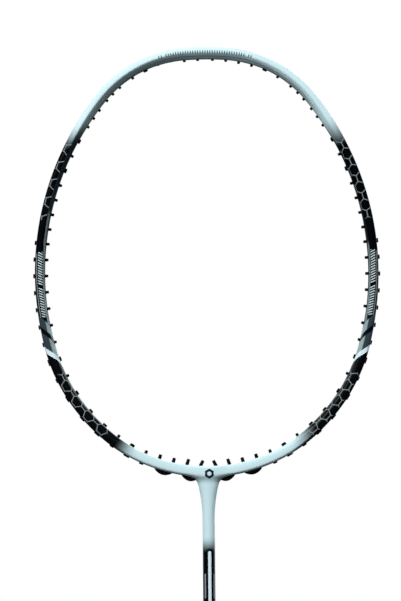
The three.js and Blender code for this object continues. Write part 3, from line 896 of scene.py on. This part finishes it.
def surface_net(field, low, high, step):
    """A quad mesh over the zero surface of a field, with one point for each cell that it crosses."""
    axes = [np.arange(low[i], high[i] + step, step) for i in range(3)]
    grid = np.stack(np.meshgrid(*axes, indexing="ij"), -1)
    values = field(grid[..., 0], grid[..., 1], grid[..., 2])
    inside = values < 0
    cells = tuple(n - 1 for n in values.shape)
    total = np.zeros(cells + (3,))
    count = np.zeros(cells)
    offsets = [(i, j, k) for i in (0, 1) for j in (0, 1) for k in (0, 1)]

    def corner(array, offset):
        return array[tuple(slice(o, o + n) for o, n in zip(offset, cells))]

    for first in offsets:
        for axis in range(3):
            if first[axis]:
                continue
            second = tuple(o + (i == axis) for i, o in enumerate(first))
            v0, v1 = corner(values, first), corner(values, second)
            crossed = (v0 < 0) != (v1 < 0)
            share = np.where(crossed, v0 / np.where(crossed, v0 - v1, 1), 0)[..., None]
            total += crossed[..., None] * (corner(grid, first) * (1 - share) + corner(grid, second) * share)
            count += crossed
    used = count > 0
    number = np.full(cells, -1)
    number[used] = np.arange(used.sum())
    points = total[used] / count[used][:, None]
    faces = []
    for axis in range(3):
        b, c = (axis + 1) % 3, (axis + 2) % 3
        ahead = np.roll(inside, -1, axis)
        crossed = inside != ahead
        crossed[tuple(-1 if i == axis else slice(None) for i in range(3))] = False
        spots = np.argwhere(crossed)
        spots = spots[(spots[:, b] > 0) & (spots[:, c] > 0)]
        spots = spots[(spots[:, b] < cells[b]) & (spots[:, c] < cells[c])]
        quad = []
        for db, dc in ((-1, -1), (0, -1), (0, 0), (-1, 0)):
            near = spots.copy()
            near[:, b] += db
            near[:, c] += dc
            quad.append(number[tuple(near.T)])
        quad = np.stack(quad, -1)
        outward = inside[tuple(spots.T)]
        faces.append(np.where(outward[:, None], quad, quad[:, ::-1]))
    return points, np.concatenate(faces)


def settle(field, points, rounds=4):
    """Moves points along the field's slope onto its zero surface."""
    nudge, longest_move, least_slope = 0.01, 0.3, 0.05
    for _ in range(rounds):
        value = field(*points.T)
        slope = [field(*(points + nudge * axis).T) - value for axis in np.eye(3)]
        slope = np.stack(slope, -1) / nudge
        move = np.clip(value, -longest_move, longest_move) / np.maximum((slope ** 2).sum(-1), least_slope)
        points = points - move[:, None] * slope
    return points


def throat(material):
    across = THROAT_REACH + TUCK + 2 * NET_MARGIN
    deep = FRAME_DEPTH / 2 + NET_MARGIN
    foot = LINE_BOTTOM - THROAT_WIDTH / 2 - FLARE_LENGTH - TUCK - NET_MARGIN
    head_rise = 12  # of the head tube's own curve within the piece
    high = (across, deep, LINE_BOTTOM + head_rise)
    points, faces = surface_net(throat_field, (-across, -deep, foot), high, NET_STEP)
    points = settle(throat_field, points)
    return make_piece("throat", points, faces, material, "frame_paint", ["throat_fairing"], crease=50)


# ---- the shaft ----

SHAFT_BORE_RADIUS = 2.3
SHAFT_CHAMFER = 0.3
SHAFT_RINGS, SHAFT_SIDES = 60, 64


def shaft(material):
    """The painted tube, from inside the handle up to the throat."""
    foot = node_box("shaft")[0][2]
    top = LINE_BOTTOM - THROAT_WIDTH / 2 - FLARE_LENGTH
    profile = [(SHAFT_BORE_RADIUS, top), (SHAFT_BORE_RADIUS, foot), (SHAFT_RADIUS - SHAFT_CHAMFER, foot)]
    profile += [(SHAFT_RADIUS, z) for z in np.linspace(foot + SHAFT_CHAMFER, top, SHAFT_RINGS)]
    points, faces = lathe_points(profile, SHAFT_SIDES), lathe_faces(len(profile), SHAFT_SIDES)
    return make_piece("shaft_tube", points, faces, material, "shaft_gloss", ["shaft"])


# ---- grommets ----

FIRST_MAIN = 4.5  # the first main string's distance from the axis
TOP_MAIN_PITCH, THROAT_MAIN_PITCH = 8.1, 8.37
TOP_MAINS, THROAT_MAINS = 9, 10  # on each side
TOP_CROSS = 650.4  # the top cross string's height; the next ones lie these gaps lower
CROSS_GAPS = [10.1] * 2 + [8.9] * 8 + [9.63 + 0.107 * i for i in range(8)]
SHARED = (5, 13, 15, 27, 29, 30, 31, 33)  # holes that two strings pass through
BARREL_RADIUS, THROAT_BARREL_RADIUS, SHARED_BARREL_RADIUS = 0.95, 1.1, 1.55
# The last holes of the top strip, of the shoulder and side strips, of the single grommets and of
# the outer double ones. The inner double grommets have the rest.
TOP_END, SHOULDER_END, SIDE_END, SINGLE_END, DOUBLE_END = 5, 12, 19, 34, 36
EXTRA_LEAN = {36: 3, 37: 10, 38: 23}  # in degrees from square to the frame
# How far the barrels stand past the inside of the frame, at these holes and evenly in between.
BARREL_REACH = {
    1: 1.1, 3: 1.6, 6: 1.15, 12: 1.15, 20: 1.5, 23: 1.5, 26: 1.25, 34: 1.15, 35: 1.8, 36: 2.0, 37: 2.8,
}
SHORT_BARRELS = {"left": (3, 4), "right": ()}  # pressed in until they hardly show
SHORT_REACH = 0.3
SHARED_REACH = 0.75  # of a single barrel's reach


def hole_distances():
    """The holes of one side, in order from the top centre, as distances along the centre line."""
    along = np.linspace(0, HALF_LENGTH, 20001)
    x, z, _, _ = head_line(along)
    widest = int(np.argmax(x))
    upper_x, lower_x = (x[:widest], along[:widest]), (x[widest:][::-1], along[widest:][::-1])
    found = [np.interp(FIRST_MAIN + TOP_MAIN_PITCH * i, *upper_x) for i in range(TOP_MAINS)]
    found += [np.interp(FIRST_MAIN + THROAT_MAIN_PITCH * i, *lower_x) for i in range(THROAT_MAINS)]
    heights = TOP_CROSS - np.concatenate([[0], np.cumsum(CROSS_GAPS)])
    found += [np.interp(height, z[::-1], along[::-1]) for height in heights]
    return np.sort(found)


def barrel_radius(number):
    if number in SHARED:
        return SHARED_BARREL_RADIUS
    return THROAT_BARREL_RADIUS if number > SINGLE_END else BARREL_RADIUS


def make_holes(name, side):
    """Each hole's number, outer distance along the head, place and direction, half the frame's
    width along it, and its grommet's radius and reach."""
    holes = []
    for number, mouth in enumerate(hole_distances(), start=1):
        lean = math.radians(EXTRA_LEAN.get(number, 0))
        shift = float(half_width(mouth)) * math.tan(lean)
        x, z, out_x, out_z = (float(v) for v in head_line(side * (mouth - shift)))
        turn = math.atan2(-out_x, -out_z) - side * lean
        usual_reach = float(np.interp(number, list(BARREL_REACH), list(BARREL_REACH.values())))
        holes.append({
            "number": number,
            "outer": side * (mouth - 2 * shift),
            "matrix": Matrix.Translation((x, 0, z)) @ Matrix.Rotation(turn, 4, "Y"),
            "half": float(half_width(mouth)) / math.cos(lean),
            "radius": barrel_radius(number),
            "reach": SHORT_REACH if number in SHORT_BARRELS[name] else usual_reach,
        })
    return holes


HOLES = {"right": make_holes("right", 1), "left": make_holes("left", -1)}
GROMMET_SIDES = 28


def barrel_profile(hole, seat, head_rim, head_height):
    """The closed profile of a grommet from its outer head to its tip inside the hoop."""
    bore, radius = hole["radius"] * 0.5, hole["radius"]
    tip = hole["half"] + hole["reach"] * (SHARED_REACH if hole["number"] in SHARED else 1)
    corners = [
        (bore, seat - head_height),
        (radius + head_rim, seat - head_height),
        (radius + head_rim, seat),
        (radius, seat),
        (radius * 0.97, hole["half"]),
        (radius * 0.86, tip),
        (bore, tip),
    ]
    return rounded(corners, radius=0.3, steps=4)


def placed(points, matrix):
    turn = np.array(matrix)
    return points @ turn[:3, :3].T + turn[:3, 3]


def barrel_mesh(hole, seat, head_rim, head_height):
    profile = barrel_profile(hole, seat, head_rim, head_height)
    points = placed(lathe_points(profile, GROMMET_SIDES), hole["matrix"])
    return points, lathe_faces(len(profile), GROMMET_SIDES)


def single_grommet(side, hole, material):
    points, faces = barrel_mesh(hole, seat=-hole["half"] - 0.05, head_rim=0.4, head_height=0.85)
    node = f"grommet_{side}_{hole['number']}"
    return make_piece(f"nylon_{node}", points, faces, material, "grommet_nylon", [node])


def joined(meshes):
    """Several meshes as one list of points and one of faces."""
    points, faces, count = [], [], 0
    for some_points, some_faces in meshes:
        points.append(some_points)
        faces += [tuple(i + count for i in face) for face in some_faces]
        count += len(some_points)
    return np.concatenate(points), faces


def link_band(start, end, bottom, thickness, width, steps):
    """A strip along the outside of the head. Its underside stands off the outer wall by bottom, and
    thickness gives how thick it is at a share of its length."""
    points = []
    for share in np.linspace(0, 1, steps + 1):
        distance = start + (end - start) * share
        thick = thickness(share)
        base = half_width(distance) + bottom
        side, top = width / 2, base + thick
        ring = rounded([(base, -side), (base, side), (top, side), (top, -side)], min(0.45, thick * 0.45), 3)
        x, z, out_x, out_z = head_line(distance)
        points.append(np.stack([x + ring[:, 0] * out_x, ring[:, 1], z + ring[:, 0] * out_z], -1))
    around = len(points[0])
    return np.concatenate(points), tube_faces(steps + 1, around)


def make_grommet(name, mesh, material):
    """A piece that stands for the CAD's grommets of the same name."""
    points, faces = mesh
    return make_piece(f"nylon_{name}", points, faces, material, "grommet_nylon", [f"grommet_{name}"])


STRIP_TAIL = 2.5  # of a linking strip past its end holes
STRIP_WIDTH, STRIP_THICKNESS = 2.3, 0.55
STRIP_STEP = 1.2
STRIP_GAP = 0.1  # over the groove's floor
DOUBLE_TAIL, INNERMOST_TAIL = 0.9, 1.6  # the second is added towards the throat
DOUBLE_WIDTH, DOUBLE_EDGE = 3.3, 0.5
DOUBLE_SINK = 0.25  # into the outer wall
DOUBLE_STEPS = 28
DOUBLE_HEIGHT, INNERMOST_HEIGHT = 2.1, 2.7


def grommet_strip(name, holes, material):
    """Grommets linked by a flat strip in the bottom of the string groove."""
    distances = [hole["outer"] for hole in holes]
    start, end = min(distances) - STRIP_TAIL, max(distances) + STRIP_TAIL

    def thickness(share):
        return STRIP_THICKNESS * (0.55 + 0.45 * min(1, 12 * share, 12 * (1 - share)))

    steps = int((end - start) / STRIP_STEP)
    meshes = [link_band(start, end, STRIP_GAP - GROOVE_DEPTH, thickness, STRIP_WIDTH, steps)]
    for hole in holes:
        meshes.append(barrel_mesh(hole, seat=-hole["half"] + 0.5, head_rim=0.15, head_height=0.3))
    return make_grommet(name, joined(meshes), material)


def double_grommet(name, pair, material):
    """Two grommets at the throat with a thick bowed link between them."""
    distances = [hole["outer"] for hole in pair]
    start, end = min(distances) - DOUBLE_TAIL, max(distances) + DOUBLE_TAIL
    innermost = pair[-1]["number"] == len(HOLES["right"])
    height = INNERMOST_HEIGHT if innermost else DOUBLE_HEIGHT
    if innermost and start > 0:
        end += INNERMOST_TAIL
    elif innermost:
        start -= INNERMOST_TAIL

    def thickness(share):
        return DOUBLE_EDGE + height * math.sin(math.pi * share) ** 0.8

    meshes = [link_band(start, end, -DOUBLE_SINK, thickness, DOUBLE_WIDTH, DOUBLE_STEPS)]
    for hole in pair:
        meshes.append(barrel_mesh(hole, seat=-hole["half"] + 0.4, head_rim=0.1, head_height=0.4))
    return make_grommet(name, joined(meshes), material)


def all_grommets(material):
    top = HOLES["right"][:TOP_END] + HOLES["left"][:TOP_END]
    grommet_strip("strip_top", top, material)
    for side, holes in HOLES.items():
        for part, start, end in (("shoulder", TOP_END, SHOULDER_END), ("side", SHOULDER_END, SIDE_END)):
            grommet_strip(f"strip_{side}_{part}", holes[start:end], material)
        for hole in holes[SIDE_END:SINGLE_END]:
            single_grommet(side, hole, material)
        double_grommet(f"double_{side}_outer", holes[SINGLE_END:DOUBLE_END], material)
        double_grommet(f"double_{side}_inner", holes[DOUBLE_END:], material)


# ---- the handle ----

CORE_HIGH = node_box("handle_core")[1]
BUTT_FLARE = 1.3
FLARE_START, FLARE_END = 14, 36
CORE_HALF_WIDTH = CORE_HIGH[0] - BUTT_FLARE
DEPTH_SHARE = CORE_HIGH[1] / CORE_HIGH[0]
HANDLE_SIDES = 96
SOFT_SHARPNESS, HARD_SHARPNESS = 20, 26  # of the octagon's corners, on the grip and on the plastics


def core_half_width(z):
    return CORE_HALF_WIDTH + BUTT_FLARE * smoothstep(FLARE_END, FLARE_START, z)


def octagon_reach(angle, sharpness=SOFT_SHARPNESS):
    """How far out the edge of an octagon is whose flats lie one unit from its axis."""
    facing = [np.maximum(np.cos(angle - k * np.pi / 4), 0) ** sharpness for k in range(8)]
    return sum(facing) ** (-1 / sharpness)


def handle_ring(half, z, squareness):
    """A ring round the handle, from round (0) to octagonal (1)."""
    angle = 2 * np.pi * np.arange(HANDLE_SIDES) / HANDLE_SIDES
    reach = half * (1 + squareness * (octagon_reach(angle, HARD_SHARPNESS) - 1))
    depth = 1 + squareness * (DEPTH_SHARE - 1)
    return np.stack([reach * np.cos(angle), reach * np.sin(angle) * depth, np.full(HANDLE_SIDES, z)], -1)


STRIP_POINTS = 25  # across a strip's face


def helical_strip(name, node, slot, material, turns, width, rise, section_at):
    """A strip wound up the handle between a node's ends, rising by a pitch each turn. section_at
    gives, for places across the strip and a number of turns, how far its inner and outer faces
    stand off the core."""
    low, high = (corner[2] for corner in node_box(node))
    stations = np.linspace(0, turns, int(turns * HANDLE_SIDES))
    spread = (1 - np.cos(np.linspace(0, np.pi, STRIP_POINTS))) / 2
    points, along, across = [], [], []
    for turn in stations:
        foot = low + rise * turn + (1 - width if rise else 0)
        first, last = max(0, low - foot), min(width, high - foot)
        place = first + (last - first) * spread
        inner, outer = section_at(place, turn)
        v = np.concatenate([place, place[::-1]])
        stand = np.concatenate([inner, outer[::-1]])
        angle = 2 * np.pi * turn
        z = foot + v
        reach = (core_half_width(z) + stand) * octagon_reach(angle)
        points.append(np.stack([reach * np.cos(angle), reach * np.sin(angle) * DEPTH_SHARE, z], -1))
        along.append(np.full(len(v), angle * CORE_HALF_WIDTH))
        across.append(v)
    faces = tube_faces(len(stations), len(points[0]))
    fields = {"arc": np.concatenate(along), "across": np.concatenate(across)}
    return make_piece(name, np.concatenate(points), faces, material, slot, [node], fields, crease=55)


GRIP_OVERLAP = 3
GRIP_THICKNESS = 1.45
GRIP_THINNEST = 0.12
GRIP_CLEARANCE = 0.25  # off the wooden core
GRIP_CHANNELS = (0.42, 0.62)  # shares of the way across
CHANNEL_DEPTH = 0.35
LAP_GAP = 0.05


def grip_thickness(across):
    """The band thins to a soft edge on both sides and has two shallow channels pressed in it."""
    edges = smoothstep(-0.9, 2.2, across) * smoothstep(GRIP_WIDTH + 0.9, GRIP_WIDTH - 3, across)
    channels = sum(smoothstep(0.8, 0.15, np.abs(across - GRIP_WIDTH * share)) for share in GRIP_CHANNELS)
    return GRIP_THICKNESS * edges - CHANNEL_DEPTH * channels


def grip_section(across, turn):
    lifted = grip_thickness(across + GRIP_WIDTH - GRIP_OVERLAP) + LAP_GAP
    lap = lifted * smoothstep(GRIP_OVERLAP + 0.8, GRIP_OVERLAP - 0.2, across)
    inner = GRIP_CLEARANCE + lap * min(1, turn)
    return inner, inner + np.maximum(grip_thickness(across), GRIP_THINNEST)


def grip(material):
    """A cushioned band wound up the handle, each turn lapping over the one below."""
    low, high = node_box("grip_wrap")
    pitch = GRIP_WIDTH - GRIP_OVERLAP
    turns = (high[2] - low[2] + GRIP_WIDTH - 2) / pitch
    args = ("grip_band", "grip_wrap", "grip_skin", material)
    return helical_strip(*args, turns, GRIP_WIDTH, rise=pitch, section_at=grip_section)


TAPE_STAND, TAPE_SPIRAL = 2.4, 0.26  # off the core, and what that grows by in a turn
TAPE_TURNS = 1.2
TAPE_WIDTH = 14


def tape_section(across, turn):
    inner = TAPE_STAND + TAPE_SPIRAL * turn
    soft = smoothstep(-0.1, 0.25, across) * smoothstep(TAPE_WIDTH + 0.1, TAPE_WIDTH - 0.25, across)
    return inner + 0 * across, inner + 0.12 + 0.1 * soft


def finishing_tape(material):
    """The thin film that ends the grip, wound a little over once round."""
    args = ("tape_band", "finishing_tape", "tape_film", material)
    return helical_strip(*args, TAPE_TURNS, TAPE_WIDTH, rise=0, section_at=tape_section)


def turned_piece(name, node, slot, material, rings, faces_of):
    """A piece of rings round the handle's axis. A ring is (half width, height, squareness)."""
    points = np.concatenate([handle_ring(*ring) for ring in rings])
    faces = faces_of(len(rings), HANDLE_SIDES)
    return make_piece(name, points, faces, material, slot, [node], crease=35)


CONE_NECK, CONE_FOOT = 5.0, 13.0  # half widths
CONE_BOW, CONE_WALL = 0.8, 1.4
CONE_GROOVES = ((0.82, 0.35), (0.09, 0.25))  # share of the way up, and depth
CONE_GROOVE_WIDTH = 0.012  # share of the cone's height
CONE_GRIP = 8  # the length of bore that fits the shaft


def cone_cap(material):
    """From the octagonal handle up to a round neck on the shaft, hollow, with a lip at each end."""
    foot, top = (corner[2] for corner in node_box("cone_cap"))
    neck, base = CONE_NECK, CONE_FOOT
    rings = [(base - 0.5, foot), (base - 0.12, foot + 0.15), (base, foot + 0.5)]
    for rise in np.linspace(0.045, 0.93, 26):
        groove = sum(deep * math.exp(-((rise - at) / CONE_GROOVE_WIDTH) ** 2) for at, deep in CONE_GROOVES)
        half = base + (neck - base) * rise + CONE_BOW * math.sin(math.pi * rise) - groove
        rings.append((half, foot + (top - foot) * rise))
    rings += [(neck + 0.62, top - 1.9), (neck + 0.6, top - 0.7), (neck + 0.35, top - 0.2), (neck, top)]
    rings = [(half, z, 1 - smoothstep(foot, top - 4, z)) for half, z in rings]
    bore, mouth = SHAFT_RADIUS + 0.12, base - CONE_WALL - 1
    rings += [(bore + 0.2, top, 0), (bore, top - 0.2, 0), (bore, top - CONE_GRIP, 0), (8.6, foot + 10, 0)]
    rings += [(mouth - 0.2, foot + 0.3, 1), (mouth, foot, 1)]
    return turned_piece("neck_cone", "cone_cap", "gloss_black_plastic", material, rings, lathe_faces)


BADGE_RADIUS = 8
BADGE_THICKNESS = 0.9
CAP_HALF_WIDTH, CAP_HEIGHT, CAP_FLOOR = 14.9, 9.0, 2.2
CAP_ROUND = 1.5  # the radius of its lower edge
CAP_GROOVE_DEPTH = 0.25


def butt_cap(material):
    """A cup on the butt with a round pocket for the badge."""
    half, height = CAP_HALF_WIDTH, CAP_HEIGHT
    pocket, inside = BADGE_RADIUS + 0.2, core_half_width(0) + 0.2
    rings = [(pocket, 1.1, 0), (pocket, 0.2, 0), (pocket + 0.2, 0, 0), (pocket + 1.4, 0, 0.2)]
    for turn in np.linspace(0, math.pi / 2, 8):
        rings.append((half - CAP_ROUND * (1 - math.sin(turn)), CAP_ROUND * (1 - math.cos(turn)), 1))
    grooved = half - CAP_GROOVE_DEPTH
    rings += [(half, 3.4, 1), (grooved, 3.6, 1), (grooved, 4.0, 1), (half, 4.2, 1)]
    rings += [(half, height - 0.7, 1), (half - 0.2, height - 0.2, 1), (half - 0.6, height, 1)]
    rings += [(inside + 0.3, height, 1), (inside, height - 0.3, 1), (inside, CAP_FLOOR, 1)]
    return turned_piece("end_cap", "butt_cap", "gloss_black_plastic", material, rings, tube_faces)


def butt_badge(material):
    """A plain turned disc with a raised rim."""
    radius, thick = BADGE_RADIUS - 0.05, BADGE_THICKNESS
    rings = [(1.2, 0.28, 0), (radius - 1.5, 0.28, 0), (radius - 1.2, 0.05, 0), (radius - 0.3, 0.02, 0)]
    rings += [(radius, 0.2, 0), (radius, thick - 0.1, 0), (radius - 0.15, thick, 0)]
    return turned_piece("end_disc", "butt_badge", "badge_metal", material, rings, tube_faces)


# ---- the stage ----

CAMERA_DISTANCE = 2200
CAMERA_HEIGHT = 335.9
AIM_X, AIM_Z = -3.8, 524.4
CAMERA_ROLL = math.radians(-0.45)
CAMERA_LENS, SENSOR_WIDTH = 223.7, 36
FAR_CLIP = 50  # in metres


def camera():
    data = bpy.data.cameras.new("camera")
    data.lens = CAMERA_LENS
    data.sensor_width = SENSOR_WIDTH
    data.clip_end = FAR_CLIP
    place = Vector((0, -CAMERA_DISTANCE, CAMERA_HEIGHT))
    ahead = (Vector((AIM_X, 0, AIM_Z)) - place).normalized()
    right = ahead.cross(Vector((0, 0, 1))).normalized()
    up = right.cross(ahead)
    turned_right = right * math.cos(CAMERA_ROLL) + up * math.sin(CAMERA_ROLL)
    turned_up = up * math.cos(CAMERA_ROLL) - right * math.sin(CAMERA_ROLL)
    obj = bpy.data.objects.new("camera", data)
    bpy.context.scene.collection.objects.link(obj)
    axes = Matrix((turned_right, turned_up, -ahead)).transposed().to_4x4()
    obj.matrix_world = Matrix.Translation(place * MM) @ axes
    bpy.context.scene.camera = obj


WALL_LIGHT, ABOVE_LIGHT, ROOM_LIGHT, LEAST_LIGHT = 3.5, 0.3, 0.02, 0.01
WALL_DIFFUSE = 0.1  # the wall is strong in mirrored light only
STUDIO_TINT = (0.84, 1.0, 1.0, 1.0)
WHITE = (1.0, 1.0, 1.0, 1.0)


def world():
    """White to the camera. As light it is a studio with a white wall behind, soft light above,
    and a dark floor and camera side."""
    made = bpy.data.worlds.new("studio")
    bpy.context.scene.world = made
    made.use_nodes = True
    nodes = Nodes(made.node_tree)
    x, y, z = nodes.coordinates("Generated")
    wall = nodes.step(y, 0.1, 0.5) * nodes.step(z, -0.3, 0.05) * nodes.step(abs(x), 0.1, 0.35)
    wall = wall * (1 + x * 0.5)  # brighter towards +X
    diffuse_ray = Field(nodes, nodes.light_path("Is Diffuse Ray"))
    mirrored = nodes.choose(diffuse_ray, 1, WALL_DIFFUSE)
    above, room = nodes.step(z, 0.35, 0.85), nodes.step(z, -0.1, 0.3)
    brightness = WALL_LIGHT * wall * mirrored + ABOVE_LIGHT * above + ROOM_LIGHT * room + LEAST_LIGHT
    lit = nodes.coloured("ShaderNodeBackground", STUDIO_TINT)
    nodes.put(lit.inputs["Strength"], brightness)
    seen = nodes.coloured("ShaderNodeBackground", WHITE)
    out = nodes.tree.nodes.new("ShaderNodeOutputWorld")
    shown = nodes.blend_shaders(nodes.light_path("Is Camera Ray"), lit.outputs[0], seen.outputs[0])
    nodes.tree.links.new(shown, out.inputs["Surface"])


def softbox(name, place, size, power):
    """A square area light that faces the middle of the head. Its place and size are in metres."""
    data = bpy.data.lights.new(name, "AREA")
    data.size = size
    data.energy = power
    light = bpy.data.objects.new(name, data)
    bpy.context.scene.collection.objects.link(light)
    light.location = place
    aim = Vector((0, 0, (LINE_BOTTOM + HEAD_HIGH[2]) / 2 * MM))
    light.rotation_mode = "QUATERNION"
    light.rotation_quaternion = (aim - light.location).to_track_quat("-Z", "Y")


FLOOR_REACH = 8  # in metres, as the next value is
FLOOR_DROP = 0.0005  # below the butt
FLOOR_FADE = (600.0, 2600.0)  # distances from the axis between which the floor turns white
DARK = (0.05, 0.05, 0.05, 1.0)


def floor():
    """Pale where the camera sees it, fading into the white far away, and clear from below. It
    throws little light up."""
    look = Look("floor")
    x, y, _ = look.place()
    pale_colour = look.mix(look.noise(scale=3, detail=4), srgb(236, 237, 238), srgb(240, 241, 242))
    pale = look.coloured("ShaderNodeBsdfDiffuse", pale_colour)
    dark = look.coloured("ShaderNodeBsdfDiffuse", DARK)
    white = look.coloured("ShaderNodeEmission", WHITE)
    clear = look.coloured("ShaderNodeBsdfTransparent", WHITE)
    seen = look.blend_shaders(look.step(look.length(x, y), *FLOOR_FADE), pale.outputs[0], white.outputs[0])
    underside = look.tree.nodes.new("ShaderNodeNewGeometry").outputs["Backfacing"]
    seen = look.blend_shaders(underside, seen, clear.outputs[0])
    look.output(look.blend_shaders(look.light_path("Is Camera Ray"), dark.outputs[0], seen))
    mesh = bpy.data.meshes.new("floor")
    reach = FLOOR_REACH
    corners = [(-reach, -reach, 0), (reach, -reach, 0), (reach, reach, 0), (-reach, reach, 0)]
    mesh.from_pydata(corners, [], [(0, 1, 2, 3)])
    mesh.materials.append(look.material)
    obj = bpy.data.objects.new("floor", mesh)
    obj.location.z = cad_box[0].z - FLOOR_DROP
    bpy.context.scene.collection.objects.link(obj)


def finish_hidden_nodes():
    """The pieces that keep their CAD shapes, inside the racket."""
    for name, material in (("t_joint", carbon()), ("handle_core", wood()), ("grip_staple", steel())):
        node = frame["nodes"][name]
        node.data.materials.clear()
        node.data.materials.append(material)


head_tube(head_paint())
throat(throat_paint())
shaft(shaft_paint())
all_grommets(nylon())
finish_hidden_nodes()
grip(grip_leather())
finishing_tape(tape_film())
gloss = gloss_plastic()
cone_cap(gloss)
butt_cap(gloss)
butt_badge(turned_metal())
floor()
world()
softbox("key_light", place=(-1.16, -3.56, 3.27), size=3.4, power=272)
softbox("back_light", place=(0.5, 3.6, 2.4), size=2.4, power=160)
camera()
bpy.context.scene.view_settings.view_transform = "Standard"
